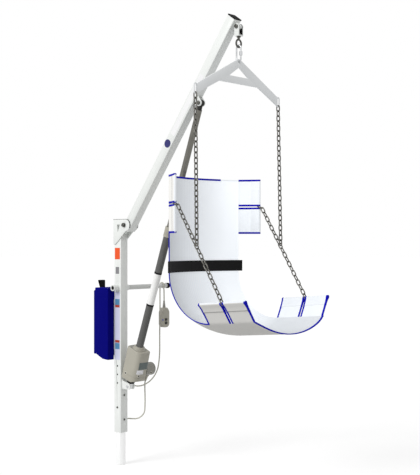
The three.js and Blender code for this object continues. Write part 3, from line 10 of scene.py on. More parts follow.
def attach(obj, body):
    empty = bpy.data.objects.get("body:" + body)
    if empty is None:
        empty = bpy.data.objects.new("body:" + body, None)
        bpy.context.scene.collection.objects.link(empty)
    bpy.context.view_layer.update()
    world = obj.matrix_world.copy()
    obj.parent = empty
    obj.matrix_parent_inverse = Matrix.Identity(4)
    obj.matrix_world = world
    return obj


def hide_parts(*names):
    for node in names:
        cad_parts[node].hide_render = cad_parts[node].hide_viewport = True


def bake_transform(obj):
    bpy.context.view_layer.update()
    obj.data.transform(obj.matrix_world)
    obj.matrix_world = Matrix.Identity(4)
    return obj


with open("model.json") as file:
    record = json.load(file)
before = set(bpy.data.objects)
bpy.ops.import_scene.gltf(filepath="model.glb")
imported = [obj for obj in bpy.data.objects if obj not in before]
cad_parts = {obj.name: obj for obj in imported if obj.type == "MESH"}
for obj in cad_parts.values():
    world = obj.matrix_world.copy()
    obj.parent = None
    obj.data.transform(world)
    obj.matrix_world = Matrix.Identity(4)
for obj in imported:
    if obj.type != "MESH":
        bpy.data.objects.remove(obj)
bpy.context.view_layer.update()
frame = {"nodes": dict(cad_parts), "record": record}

MM = 0.001
POST_EXPOSED = 170
TUBE_HALF = 25.4


# Camera, floor and light
# A level camera stands in front of the boom's side. The floor and the backdrop are plain and pale, one wide
# soft lamp stands above the camera, and the pale room gives the rest of the light.
def in_scene(name, data):
    """A new object of the scene."""
    made = bpy.data.objects.new(name, data)
    bpy.context.scene.collection.objects.link(made)
    return made


camera = in_scene("camera", bpy.data.cameras.new("camera"))
camera.location = (3.8155, -3.6261, 1.1637)
camera.rotation_euler = (pi / 2, 0, 0.7218)
camera.data.lens = 997.574 * 36 / 475
camera.data.shift_y = 5.056 / 475
camera.data.clip_end = 200
bpy.context.scene.camera = camera
bpy.context.scene.view_settings.view_transform = "Standard"


def shader(tree, kind, inputs=None, **settings):
    """A new shader node with its settings and the values of its inputs."""
    node = tree.nodes.new("ShaderNode" + kind)
    for setting, value in settings.items():
        setattr(node, setting, value)
    for name, value in (inputs or {}).items():
        node.inputs[name].default_value = value
    return node


def two_ways(tree, lights, shows, output):
    """One shader for the light it gives to others, and one for what shows directly or in a shine."""
    rays = shader(tree, "LightPath")
    factor = rays.outputs["Is Camera Ray"]
    for kind in ("Is Glossy Ray", "Is Transmission Ray"):
        larger = shader(tree, "Math", operation="MAXIMUM")
        tree.links.new(factor, larger.inputs[0])
        tree.links.new(rays.outputs[kind], larger.inputs[1])
        factor = larger.outputs[0]
    mix = shader(tree, "MixShader")
    for place, source in enumerate((factor, lights.outputs[0], shows.outputs[0])):
        tree.links.new(source, mix.inputs[place])
    tree.links.new(mix.outputs[0], tree.nodes[output].inputs["Surface"])


room = bpy.data.worlds.new("room")
bpy.context.scene.world = room
room.use_nodes = True
room_light = room.node_tree.nodes["Background"]
room_light.inputs["Color"].default_value = (1, 1, 1, 1)
room_light.inputs["Strength"].default_value = 0.7
backdrop = shader(room.node_tree, "Background", {"Color": (1, 1, 1, 1), "Strength": 1})
two_ways(room.node_tree, room_light, backdrop, "World Output")

lamp = in_scene("lamp", bpy.data.lights.new("lamp", "SUN"))
lamp.data.energy = 1.62
lamp.data.angle = radians(28)
lamp.rotation_euler = (radians(58), 0, radians(-7))


def deselect():
    bpy.ops.object.select_all(action="DESELECT")


def hold(piece):
    """Makes the piece the one that the next operator works on."""
    deselect()
    piece.select_set(True)
    bpy.context.view_layer.objects.active = piece


deselect()
bpy.ops.mesh.primitive_plane_add(size=120)
floor = bpy.context.object
floor.name = "floor"
paving = bpy.data.materials.new("paving")
paving.use_nodes = True
paving_tree = paving.node_tree
paving_look = paving_tree.nodes["Principled BSDF"]
for name, value in (("Roughness", 0.9), ("Specular IOR Level", 0), ("Base Color", (0.6, 0.6, 0.6, 1))):
    paving_look.inputs[name].default_value = value
pale = shader(paving_tree, "BsdfDiffuse", {"Color": (0.55, 0.55, 0.55, 1)})
glow = shader(paving_tree, "Emission", {"Strength": 0.5})
pale_and_glow = shader(paving_tree, "AddShader")
paving_tree.links.new(pale.outputs[0], pale_and_glow.inputs[0])
paving_tree.links.new(glow.outputs[0], pale_and_glow.inputs[1])
two_ways(paving_tree, paving_look, pale_and_glow, "Material Output")
floor.data.materials.append(paving)


# Cords
# Two round rubber cables leave the mast through grommets on its far side. One hangs in a loop and goes over
# the push handle to the hand control, and the other goes to the gland under the motor.
def finish(name, colour, worn, roughness, metallic=0.0, patch=9.0, grain=900.0, bump=0.1, gloss=0.5):
    """A finish with clouds of a second tone, a fine grain in its roughness, and the same grain as relief."""
    made = bpy.data.materials.new(name)
    made.use_nodes = True
    tree = made.node_tree
    look = tree.nodes["Principled BSDF"].inputs
    place = shader(tree, "TexCoord").outputs["Object"]
    clouds = shader(tree, "TexNoise", {"Scale": patch, "Detail": 4})
    grains = shader(tree, "TexNoise", {"Scale": grain, "Detail": 2})
    cloudy = shader(tree, "MapRange", {"From Min": 0.4, "From Max": 0.75})
    tones = shader(tree, "Mix", {"A": (*colour, 1), "B": (*worn, 1)}, data_type="RGBA")
    rough = shader(tree, "MapRange", {"To Min": roughness - 0.06, "To Max": roughness + 0.06})
    relief = shader(tree, "Bump", {"Strength": bump, "Distance": 0.2 * MM})
    for source, target in (
            (place, clouds.inputs["Vector"]), (place, grains.inputs["Vector"]),
            (clouds.outputs["Fac"], cloudy.inputs["Value"]), (cloudy.outputs["Result"], tones.inputs["Factor"]),
            (tones.outputs["Result"], look["Base Color"]), (grains.outputs["Fac"], rough.inputs["Value"]),
            (rough.outputs["Result"], look["Roughness"]), (grains.outputs["Fac"], relief.inputs["Height"]),
            (relief.outputs["Normal"], look["Normal"])):
        tree.links.new(source, target)
    look["Metallic"].default_value = metallic
    look["Specular IOR Level"].default_value = gloss
    return made


def smooth_line(points, parts):
    """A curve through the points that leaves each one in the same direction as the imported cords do."""
    ends = [points[0] * 2 - points[1], *points, points[-1] * 2 - points[-2]]
    line = []
    for before, start, end, after in zip(ends, ends[1:], ends[2:], ends[3:]):
        spans = [sqrt((b - a).length) for a, b in ((before, start), (start, end), (end, after))]
        leave = ((start - before) / spans[0] - (end - before) / (spans[0] + spans[1])
                 + (end - start) / spans[1]) * spans[1]
        arrive = ((end - start) / spans[1] - (after - start) / (spans[1] + spans[2])
                  + (after - end) / spans[2]) * spans[1]
        for step in range(parts):
            t = step / parts
            line.append(start + leave * t + (3 * end - 3 * start - 2 * leave - arrive) * t ** 2
                        + (2 * start - 2 * end + leave + arrive) * t ** 3)
    return [*line, points[-1]]


def cable(name, route, diameter):
    """A round cable along its route, as a closed mesh with its length in its UV map."""
    line = bpy.data.curves.new(name, "CURVE")
    line.dimensions = "3D"
    line.bevel_depth = diameter / 2
    line.bevel_resolution = 3
    line.use_fill_caps = True
    spline = line.splines.new("POLY")
    spline.points.add(len(route) - 1)
    for point, place in zip(spline.points, route):
        point.co = (*place, 1)
    piece = in_scene(name, line)
    hold(piece)
    bpy.ops.object.convert(target="MESH")
    piece = bpy.context.object
    bpy.ops.object.shade_smooth_by_angle(angle=radians(50))
    return piece


def on_mast(x, y, z):
    """A point given in millimetres from the mast's middle line and its lower end."""
    return Vector((x, y, z + POST_EXPOSED)) * MM


def in_mast(points):
    return [on_mast(*point) for point in points]


def shift(x, y, z):
    return Matrix.Translation(Vector((x, y, z)) * MM)


CORD_DIAMETER = 7 * MM
CORD_START = 37.9
HANDSET_AT = on_mast(16.5, 309, 584)
HANDSET_CORD_END = 676.8
ACTUATOR_ANGLE = radians(70.79167)
LOWER_PIN = on_mast(66, 0, 245)
GLAND_END, GLAND_FRONT, GLAND_ACROSS = 34.2, 27, 78
gland_mouth = (66 + GLAND_END * cos(ACTUATOR_ANGLE) + GLAND_FRONT * sin(ACTUATOR_ANGLE), GLAND_ACROSS,
               245 + GLAND_END * sin(ACTUATOR_ANGLE) - GLAND_FRONT * cos(ACTUATOR_ANGLE))
handset_route = smooth_line(in_mast([
    (0, CORD_START, 250), (0, 48, 249.8), (-0.5, 78, 239), (-3, 125, 226), (-6, 180, 228), (-10.5, 240, 250),
    (-14, 286, 294), (-16.6, 306, 362), (-16.8, 309, 500), (-16.8, 311, 650), (-16.8, 311.5, 752),
    (-14.6, 311.2, 766.2), (-8.2, 310.6, 772.6), (0, 309.5, 774.6), (8.2, 308.4, 772.6), (14.6, 307.5, 766.2),
    (16.8, 307, 752), (16.5, 309, HANDSET_CORD_END + 30), (16.5, 309, HANDSET_CORD_END)]), 8)
cable_route = smooth_line(in_mast([
    gland_mouth, (gland_mouth[0] - 2.6, GLAND_ACROSS, gland_mouth[2] - 9), (99.4, 78, 235), (100.6, 78, 150),
    (95, 76, 100), (62, 69, 70), (24, 60, 63), (4, 52, 63), (0, 43, 63), (0, CORD_START, 63)]), 10)
cable_skin = finish("cable_skin", (0.52, 0.51, 0.44), (0.45, 0.44, 0.37), 0.55, patch=30, grain=1500)
for name, route, start in (("handset_cord_skin", handset_route, 0), ("actuator_cable_skin", cable_route, -1)):
    cord = cable(name, route, CORD_DIAMETER)
    cord.data.materials.clear()
    cord.data.materials.append(cable_skin)
handset_cord = bpy.data.objects["handset_cord_skin"]
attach(handset_cord, "mast")
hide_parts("handset_cord")
actuator_cable = bpy.data.objects["actuator_cable_skin"]
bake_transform(actuator_cable)
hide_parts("actuator_cable")


# Post and mast
# The post is a round steel pipe with a square plug, and the mast is square steel tube that slides over it.
# The mast is powder coated white and the post is polished. Three bolts cross them. The label places on
# the mast are plain fields.
body_of_node = {node: body for body, nodes in frame["record"]["behaviour"]["bodies"].items() for node in nodes}
slot_of_node = {part["node"]: part["material_slot"] for part in frame["record"]["subparts"]}


def with_modifier(piece, kind, **settings):
    hold(piece)
    modifier = piece.modifiers.new(kind.lower(), kind)
    for setting, value in settings.items():
        setattr(modifier, setting, value)
    bpy.ops.object.modifier_apply(modifier=modifier.name)
    return piece


def smoothed(piece, angle=35):
    hold(piece)
    bpy.ops.object.shade_smooth_by_angle(angle=radians(angle))
    return piece


def fitted(piece, material, body, slot, *nodes):
    """Gives the piece its finish, and fixes it to its body in place of the plain solids."""
    piece.data.materials.clear()
    piece.data.materials.append(material)
    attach(piece, body)
    if nodes:
        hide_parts(*nodes)
    return piece


def in_edit(piece):
    """Starts edit mode with the whole piece selected."""
    hold(piece)
    bpy.ops.object.mode_set(mode="EDIT")
    bpy.ops.mesh.select_all(action="SELECT")


def out_of_edit(faces_out=False):
    if faces_out:
        bpy.ops.mesh.select_all(action="SELECT")
        bpy.ops.mesh.normals_make_consistent(inside=False)
    bpy.ops.object.mode_set(mode="OBJECT")


def dressed(node, material, edge=0.7 * MM, steps=2, angle=35):
    """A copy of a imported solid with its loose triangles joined, its edges eased and its round faces smooth."""
    piece = in_scene(node + "_finished", frame["nodes"][node].data.copy())
    hold(piece)
    bpy.ops.mesh.customdata_custom_splitnormals_clear()
    in_edit(piece)
    bpy.ops.mesh.remove_doubles(threshold=0.00002)
    bpy.ops.mesh.dissolve_limited(angle_limit=radians(1))
    out_of_edit()
    with_modifier(piece, "BEVEL", width=edge, segments=steps, limit_method="ANGLE", angle_limit=radians(angle + 5),
                  use_clamp_overlap=True)
    smoothed(piece, angle)
    return fitted(piece, material, body_of_node[node], slot_of_node[node], node)


def polygon(name, outline, fill="NGON"):
    """A new flat polygon, filled or as a line only, with its corners at the outline's points."""
    deselect()
    bpy.ops.mesh.primitive_circle_add(vertices=len(outline), radius=1, fill_type=fill)
    piece = bpy.context.object
    piece.name = piece.data.name = name
    for vertex, place in zip(piece.data.vertices, outline):
        vertex.co = place
    return piece


def slab(name, outline, way):
    """A plate: an outline of points in space, drawn out along the given way."""
    piece = polygon(name, outline)
    in_edit(piece)
    bpy.ops.mesh.extrude_region_move(TRANSFORM_OT_translate={"value": tuple(way)})
    out_of_edit(faces_out=True)
    return piece


def rectangle(left, right, low, high):
    return [(left, low), (right, low), (right, high), (left, high)]


def label_field(name, low, high, width, ink, proud):
    """A plain coloured field on the mast's face that looks towards the camera's left."""
    corners = [on_mast(x, -TUBE_HALF, z) for x, z in rectangle(-width / 2, width / 2, low, high)]
    fitted(slab(name, corners, (0, -proud * MM, 0)), ink, "mast", "mast_paint")


white_coat = finish("white_coat", (0.81, 0.83, 0.81), (0.77, 0.79, 0.77), 0.3, patch=5, grain=700, bump=0.02)
dark_steel = finish("dark_steel", (0.11, 0.11, 0.1), (0.05, 0.05, 0.045), 0.4, metallic=0.85, patch=60)
dressed("mast_tube", white_coat)
dressed("post", finish("polished_pipe", (0.95, 0.955, 0.95), (0.91, 0.915, 0.91), 0.35, metallic=0.6, patch=5))
for number in (1, 2, 3):
    dressed(f"post_bolt_{number}", dark_steel, edge=0.4 * MM)

orange_ink = finish("orange_ink", (0.85, 0.1, 0.02), (0.78, 0.09, 0.02), 0.5, gloss=0.2)
red_ink = finish("red_ink", (0.42, 0.05, 0.02), (0.36, 0.04, 0.02), 0.4)
blue_ink = finish("blue_ink", (0.08, 0.24, 0.42), (0.1, 0.28, 0.46), 0.4)
pale_ink = finish("pale_ink", (0.62, 0.63, 0.79), (0.66, 0.67, 0.81), 0.4)
grey_ink = finish("grey_ink", (0.22, 0.22, 0.23), (0.18, 0.18, 0.19), 0.4)
label_field("label_orange", 906, 966, 38, orange_ink, 0.25)
label_field("label_mark", 830, 866, 26, grey_ink, 0.25)
label_field("label_strip", 380, 735, 38, pale_ink, 0.2)
label_field("label_blue_high", 667, 698, 34, blue_ink, 0.35)
label_field("label_red_high", 654, 667, 34, red_ink, 0.35)
label_field("label_red_low", 470, 483, 34, red_ink, 0.35)
label_field("label_blue_low", 436, 468, 34, blue_ink, 0.35)


# Side plates and pivot
# Two flat steel plates are welded to the mast's sides and hold the boom between them on one long bolt with
# wide washers. Each plate has a three-cornered window.
PIVOT_X, PIVOT_Z, NOSE_X, NOSE_RADIUS, PLATE_BACK = 56, 1085, 67, 31, -TUBE_HALF
HEADS_FROM, WASHER_RADIUS, HEAD_SHARE = 30.4, 8.3, 0.75
EDGE_SHADE_THICKNESS, EDGE_SHADE_WIDTH, EDGE_SHADE_INNER = 1.6, 6.6, 24.9
HANDS = ((-1, "left"), (1, "right"))
for node in ("side_plate_left", "side_plate_right"):
    dressed(node, white_coat, edge=0.6 * MM)
for node in ("pivot_bolt", "pivot_nut"):
    piece = dressed(node, dark_steel, edge=0.5 * MM, angle=25)
    # The heads outside the plates are drawn a little smaller.
    for vertex in piece.data.vertices:
        off_x, off_z = vertex.co.x - PIVOT_X * MM, vertex.co.z - (PIVOT_Z + POST_EXPOSED) * MM
        if abs(vertex.co.y) > HEADS_FROM * MM and off_x ** 2 + off_z ** 2 > (WASHER_RADIUS * MM) ** 2:
            vertex.co.x -= off_x * (1 - HEAD_SHARE)
            vertex.co.z -= off_z * (1 - HEAD_SHARE)
WEB_HALF, WEB_BOTTOM, WEB_TOP = 25.3, 1041, PIVOT_Z + NOSE_RADIUS - 4
web = slab("plate_web", [on_mast(PLATE_BACK, y, z) for y, z in rectangle(-WEB_HALF, WEB_HALF, WEB_BOTTOM, WEB_TOP)],
           (3 * MM, 0, 0))
fitted(web, white_coat, "mast", "mast_paint")
# A dark strip along each plate's top and round its nose is painted shade, for the shade seen along the plates' edges.
edge_shade_dark = finish("edge_shade_dark", (0.1, 0.1, 0.1), (0.07, 0.07, 0.07), 0.6, gloss=0.2)


def edge_shade_line(radius):
    """Along a plate's top and down round its nose."""
    turns = [radians(90 - 10 * n) for n in range(13)]
    return [(PLATE_BACK + 0.5, radius)] + [(NOSE_X + radius * cos(turn), radius * sin(turn)) for turn in turns]


edge_shade_outline = edge_shade_line(NOSE_RADIUS) + edge_shade_line(NOSE_RADIUS - EDGE_SHADE_THICKNESS)[::-1]
for side, hand in HANDS:
    strip = slab(f"plate_edge_shade_{hand}", [on_mast(x, side * EDGE_SHADE_INNER, z + PIVOT_Z) for x, z in edge_shade_outline],
                 (0, side * EDGE_SHADE_WIDTH * MM, 0))
    fitted(strip, edge_shade_dark, "mast", "mast_paint")


# Boom
# Square steel tube, powder coated white, with a cross tube for the pivot and welded lugs for the actuator
# and the hanging gear. A moulded cap closes its outer end, and nylon bushes line its pivot.
black_plastic = finish("black_plastic", (0.012, 0.012, 0.012), (0.02, 0.02, 0.02), 0.7, patch=25, gloss=0.04)
natural_nylon = finish("natural_nylon", (0.69, 0.67, 0.6), (0.62, 0.6, 0.53), 0.5)
dressed("boom_tube", white_coat)
boom_cap = dressed("boom_cap", black_plastic, edge=1.2 * MM, steps=3)
for node in ("pivot_bush_left", "pivot_bush_right"):
    dressed(node, natural_nylon, edge=0.3 * MM)
for node in ("upper_pin_head", "upper_pin_nut", "tip_pin", "tip_pin_nut"):
    dressed(node, dark_steel, edge=0.5 * MM, angle=25)

BOOM_ANGLE = radians(54.2)
boom_place = Matrix.Translation(on_mast(PIVOT_X, 0, PIVOT_Z)) @ Matrix.Rotation(-BOOM_ANGLE, 4, "Y")
BOOM_BELOW = 15.3
CAP_PLATE, CAP_SHARE, CAP_PROUD = 5, 1.05, 0.8

# The cap's plate overhangs the tube a little.
cap_end = max((boom_place.inverted() @ vertex.co).x for vertex in boom_cap.data.vertices)
for vertex in boom_cap.data.vertices:
    local = boom_place.inverted() @ vertex.co
    if local.x > cap_end - CAP_PLATE * MM:
        local.y *= CAP_SHARE
        local.z = (local.z + BOOM_BELOW * MM) * CAP_SHARE - BOOM_BELOW * MM
        if local.x > cap_end - CAP_PLATE / 2 * MM:
            local.x += CAP_PROUD * MM
        vertex.co = boom_place @ local


def on_boom(name, outline, ink):
    """A plain field on the boom's side, from its outline along and above the boom's middle line."""
    points = [boom_place @ (Vector((along, -TUBE_HALF, above - BOOM_BELOW)) * MM) for along, above in outline]
    fitted(slab(name, points, (0, -0.25 * MM, 0)), ink, "boom", "mast_paint")


plain_white = finish("plain_white", (0.88, 0.88, 0.88), (0.84, 0.84, 0.85), 0.4)
navy_ink = finish("navy_ink", (0.01, 0.01, 0.14), (0.01, 0.01, 0.1), 0.4)
on_boom("boom_strip", rectangle(560, 900, -15, 15), plain_white)
DISC_ALONG, DISC_ABOVE, DISC_RADIUS, DISC_CORNERS = 507, 2.3, 21, 40
disc_turns = [2 * pi * n / DISC_CORNERS for n in range(DISC_CORNERS)]
on_boom("boom_disc", [(DISC_ALONG + DISC_RADIUS * cos(turn), DISC_ABOVE + DISC_RADIUS * sin(turn))
                      for turn in disc_turns], navy_ink)


# Lower bracket
# Two ears on a plate that is welded to the mast. The actuator's rear eye turns between them on a steel pin.
bright_steel = finish("bright_steel", (0.6, 0.61, 0.62), (0.5, 0.51, 0.52), 0.28, metallic=0.9, patch=40)
dressed("actuator_bracket", white_coat, edge=0.8 * MM)
for node in ("lower_pin", "lower_pin_nut"):
    dressed(node, bright_steel, edge=0.4 * MM, angle=25)


# Actuator
# A moulded housing in two shells with a motor across its side, a painted outer tube, a collar and a ground
# steel rod. A plain paper sleeve with black bands is round the tube.
beige_plastic = finish("beige_plastic", (0.39, 0.375, 0.315), (0.36, 0.345, 0.29), 0.45, patch=14, grain=1400)
grey_plastic = finish("grey_plastic", (0.27, 0.265, 0.235), (0.23, 0.225, 0.2), 0.5, patch=14, grain=1400)
tube_paint = finish("tube_paint", (0.115, 0.115, 0.112), (0.1, 0.1, 0.097), 0.5, patch=12, gloss=0.2)
rod_steel = finish("rod_steel", (0.17, 0.165, 0.145), (0.14, 0.135, 0.12), 0.32, metallic=0.8, patch=30)
actuator_place = Matrix.Translation(LOWER_PIN) @ Matrix.Rotation(-ACTUATOR_ANGLE, 4, "Y")


def cut_by(piece, point, normal, trim=False):
    """Adds edges where a plane meets the piece, or cuts away what lies on the normal's side and closes it."""
    in_edit(piece)
    bpy.ops.mesh.bisect(plane_co=tuple(point), plane_no=tuple(normal), use_fill=trim, clear_outer=trim)
    out_of_edit()


def pick_faces(piece, wanted):
    """Starts edit mode with only those faces selected for which the test holds."""
    in_edit(piece)
    bpy.ops.mesh.select_all(action="DESELECT")
    out_of_edit()
    for face in piece.data.polygons:
        face.select = wanted(face)
    bpy.ops.object.mode_set(mode="EDIT")


def without_faces(piece, unwanted, kind="FACE"):
    pick_faces(piece, unwanted)
    bpy.ops.mesh.delete(type=kind)
    out_of_edit()


def set_in_place(piece, place):
    piece.data.transform(place)
    return piece


def turned(name, profile, place, sides=48, angle=35):
    """A body of revolution: rings of (radius, distance) along the local x axis. It is hollow if the last ring
    is the first one again, and otherwise both ends are closed."""
    radius, at = profile[0]
    turns = [2 * pi * n / sides for n in range(sides)]
    piece = polygon(name, [Vector((0, cos(turn), sin(turn))) * radius * MM + Vector((at * MM, 0, 0)) for turn in turns])
    in_edit(piece)
    for next_radius, next_at in profile[1:]:
        bpy.ops.mesh.extrude_region_move(TRANSFORM_OT_translate={"value": ((next_at - at) * MM, 0, 0)})
        share = next_radius / radius
        bpy.ops.transform.resize(value=(1, share, share), center_override=(next_at * MM, 0, 0))
        radius, at = next_radius, next_at
    out_of_edit()
    hollow = profile[0] == profile[-1]
    if hollow:
        without_faces(piece, lambda face: len(face.vertices) == sides, "ONLY_FACE")
    in_edit(piece)
    if hollow:
        bpy.ops.mesh.remove_doubles(threshold=0.01 * MM)
    out_of_edit(faces_out=True)
    return set_in_place(smoothed(piece, angle), place)


def rounded_section(left, right, depth, rear_corner, left_corner, right_corner, steps):
    """The outline of a rectangle with round corners, across local y and z. The last two are at the front."""
    points = []
    for quarter, (side_y, side_z) in enumerate(((1, 1), (-1, 1), (-1, -1), (1, -1))):
        corner = rear_corner if side_z > 0 else right_corner if side_y > 0 else left_corner
        reach = right if side_y > 0 else left
        for step in range(steps + 1):
            turn = (quarter + step / steps) * pi / 2
            points.append((side_y * (reach - corner) + corner * cos(turn),
                           side_z * (depth / 2 - corner) + corner * sin(turn)))
    return points


HOUSING_START, HOUSING_END = 41, 211
HOUSING_REAR, HOUSING_FRONT, LEFT_CORNER, RIGHT_CORNER = 36, 60, 28, 9
HOUSING_LEFT, HOUSING_RIGHT = 40, 41
NECK_SLOPE, FRONT_LEAN, FRONT_LEANS_FROM, REAR_LEAN, REAR_PROUD = 7 / 84, 12 / 157, 54, 0.05, 3
GROOVE_START, GROOVE_END, GROOVE_DEPTH = 72, 73.6, 1.2
housing_depth = HOUSING_REAR + HOUSING_FRONT
section = rounded_section(HOUSING_LEFT, HOUSING_RIGHT, housing_depth, 7, LEFT_CORNER, RIGHT_CORNER, 7)
housing = slab("housing_shells", [Vector((HOUSING_START, y, z + HOUSING_REAR - housing_depth / 2)) * MM
                                  for y, z in section], ((HOUSING_END - HOUSING_START + 4) * MM, 0, 0))
for vertex in housing.data.vertices:
    if vertex.co.z > 0:
        vertex.co.z += REAR_PROUD * MM + (vertex.co.x - HOUSING_START * MM) * REAR_LEAN
    else:
        vertex.co.z += (vertex.co.x - FRONT_LEANS_FROM * MM) * FRONT_LEAN
# Its upper end slopes, and its lower front corner is cut off.
for point, normal in (((HOUSING_END - 3, 0, -48), (1, -0.08, -NECK_SLOPE)), ((41, 0, -31), (-29, 0, -13))):
    cut_by(housing, Vector(point) * MM, Vector(normal).normalized(), trim=True)
with_modifier(housing, "BEVEL", width=3.2 * MM, segments=3, limit_method="ANGLE", angle_limit=radians(34))
# A groove where the two shells meet.
for groove_edge in (GROOVE_START, GROOVE_END):
    cut_by(housing, Vector((groove_edge, 0, 0)) * MM, (1, 0, 0))
pick_faces(housing, lambda face: GROOVE_START < face.center.x / MM < GROOVE_END and abs(face.normal.x) < 0.5)
bpy.ops.mesh.select_mode(type="FACE")
bpy.ops.mesh.extrude_region_shrink_fatten(TRANSFORM_OT_shrink_fatten={"value": -GROOVE_DEPTH * MM})
bpy.ops.mesh.select_mode(type="VERT")
out_of_edit()
set_in_place(smoothed(housing, 30), actuator_place)
fitted(housing, beige_plastic, "actuator", "beige_plastic", "actuator_housing")
neck = turned("housing_neck", [(34, 196), (34, 212.5), (33, 214.5), (29.5, 216), (29, 217.5), (29, 222), (27.8, 225),
                               (26, 226), (19.6, 226), (19.4, 212)], actuator_place)
fitted(neck, beige_plastic, "actuator", "beige_plastic")
# A thin grey sheet on the housing's upper end is painted shade: it darkens the top face round the neck.
top_shade_sheet = slab("housing_top_shade", [Vector((HOUSING_END + 1 + y * 0.08 + (z + 12) * NECK_SLOPE, y, z + 12)) * MM
                                 for y, z in rounded_section(36, 36, 62, 4, 8, 8, 4)], (0.8 * MM, 0, 0))
fitted(set_in_place(top_shade_sheet, actuator_place), grey_plastic, "actuator", "beige_plastic")

across = Matrix.Rotation(pi / 2, 4, "Z")
MOTOR_FLANGE, MOTOR_RADIUS = 36.5, 34
motor_place = actuator_place @ shift(101, 0, -21) @ across
motor = turned("motor_shell", [
    (MOTOR_FLANGE - 1, 40.3), (MOTOR_FLANGE, 41.3), (MOTOR_FLANGE, 46.3), (MOTOR_FLANGE - 1, 47.3),
    (MOTOR_RADIUS, 49.5), (MOTOR_RADIUS, 102), (MOTOR_RADIUS - 0.8, 105), (MOTOR_RADIUS - 3, 107.6),
    (MOTOR_RADIUS - 7, 109.1), (8, 109.2)], motor_place, sides=64)
fitted(motor, grey_plastic, "actuator", "grey_plastic", "motor_can")
gland_place = actuator_place @ shift(0, GLAND_ACROSS, -GLAND_FRONT)
boss = turned("gland_boss", [(12, 101), (12, 65), (10, 64)], gland_place, sides=32)
fitted(boss, beige_plastic, "actuator", "grey_plastic")
gland = turned("cable_gland_boot", [(8, 63.7), (8, 57), (7.2, 56), (7.2, 54.5), (7.6, 54), (6.9, 50), (6.2, 49.5),
                                    (6.2, 48), (6.6, 47.5), (5.6, 42), (5.2, 41.5), (5.2, 40), (5.4, 39.5),
                                    (4.5, 34.7)], gland_place, sides=32)
fitted(gland, beige_plastic, "actuator", "grey_plastic", "cable_gland")
polished_steel = finish("polished_steel", (0.86, 0.87, 0.88), (0.78, 0.79, 0.8), 0.35, metallic=0.35, patch=40)
dressed("rear_eye", polished_steel, edge=1.0 * MM)
boot = slab("rear_boot", [Vector((40.7, y, z)) * MM for y, z in rounded_section(16.5, 16.5, 34, 8, 8, 8, 4)],
            (-20 * MM, 0, 0))
with_modifier(boot, "BEVEL", width=1.2 * MM, segments=2, limit_method="ANGLE", angle_limit=radians(50))
fitted(set_in_place(smoothed(boot), actuator_place), black_plastic, "actuator", "black_plastic")

sleeve_paper = finish("sleeve_paper", (0.9, 0.9, 0.89), (0.86, 0.86, 0.85), 0.5)


def sleeve_profile(inner, outer, start, end):
    return [(inner, start), (outer, start), (outer, end), (inner, end), (inner, start)]


for name, profile, material, slot, nodes in (
        ("outer_tube_painted", [(15.3, 211.3), (19, 211.3), (19, 868.5), (18.5, 869), (15.3, 869), (15.3, 211.3)],
         tube_paint, "tube_paint", ["outer_tube"]),
        ("tube_collar_moulded", [
            (19.2, 823), (20.7, 823), (21.5, 824), (21.5, 833), (21.1, 833.8), (21.5, 834.6), (21.5, 874.5),
            (20.8, 875.6), (19.5, 876), (15.4, 876), (15.4, 869.3), (19.2, 869.3), (19.2, 823)],
         beige_plastic, "beige_plastic", ["tube_collar"]),
        ("tube_sleeve", sleeve_profile(19.1, 19.35, 458, 628), sleeve_paper, "tube_paint", []),
        ("sleeve_band_low", sleeve_profile(19.1, 19.6, 452, 461), black_plastic, "tube_paint", []),
        ("sleeve_band_high", sleeve_profile(19.1, 19.6, 625, 634), black_plastic, "tube_paint", [])):
    fitted(turned(name, profile, actuator_place, sides=56), material, "actuator", slot, *nodes)
EYE_REACH = 1514.19
rod = turned("rod_ground", [(12.6, 786), (14.7, 786), (15, 786.3), (15, EYE_REACH - 36)], actuator_place, sides=56)
fitted(rod, rod_steel, "rod", "rod_steel", "rod_tube")
black_oxide = finish("black_oxide", (0.025, 0.025, 0.023), (0.04, 0.04, 0.037), 0.5, gloss=0.1)
dressed("rod_eye", black_oxide, edge=0.8 * MM)


def housing_front(along, y):
    """The depth of the housing's front, with the round corners beside it."""
    corner, reach = (RIGHT_CORNER, HOUSING_RIGHT) if y > 0 else (LEFT_CORNER, HOUSING_LEFT)
    round_part = max(abs(y) - (reach - corner), 0)
    return -HOUSING_FRONT + (along - FRONT_LEANS_FROM) * FRONT_LEAN + corner - sqrt(corner ** 2 - round_part ** 2)


dark_rubber = finish("dark_rubber", (0.06, 0.06, 0.055), (0.045, 0.045, 0.04), 0.7, gloss=0.2)
SCREW_CUP, SCREW_HEAD = 8, 5.6
cup_painted_highlight = finish("cup_painted_highlight", (0.66, 0.64, 0.56), (0.6, 0.58, 0.51), 0.4)
to_side, to_front = Matrix.Rotation(-pi / 2, 4, "Z"), Matrix.Rotation(pi / 2, 4, "Y")
# The pale cups are painted highlight for the lit rims of the screw recesses, and the near-black heads are painted shade
# for the recesses.
for name, at, turn in (("screw_side", (73.5, -40.05, 13.5), to_side),
                       ("screw_front", (85, -17, housing_front(85, -17) - 0.6), to_front),
                       ("screw_motor", (95, 73, -55.6), to_front)):
    place = actuator_place @ shift(*at) @ turn
    cup = turned(name + "_cup", [(SCREW_CUP, -1.5), (SCREW_CUP, 0.5), (SCREW_CUP - 0.5, 0.8), (SCREW_HEAD, 0.8),
                                 (SCREW_HEAD, -0.6)], place, sides=28)
    fitted(cup, cup_painted_highlight, "actuator", "beige_plastic")
    screw = turned(name, [(SCREW_HEAD - 0.2, -1.2), (SCREW_HEAD - 0.2, 0.1), (SCREW_HEAD - 0.7, 0.5), (1.7, 0.5),
                          (1.5, -0.9)], place, sides=28)
    fitted(screw, dark_rubber, "actuator", "dark_steel")
steel_blue = finish("steel_blue", (0.085, 0.112, 0.108), (0.105, 0.132, 0.126), 0.4)
silver_foil = finish("silver_foil", (0.66, 0.66, 0.68), (0.4, 0.4, 0.43), 0.3, metallic=0.6, patch=160)


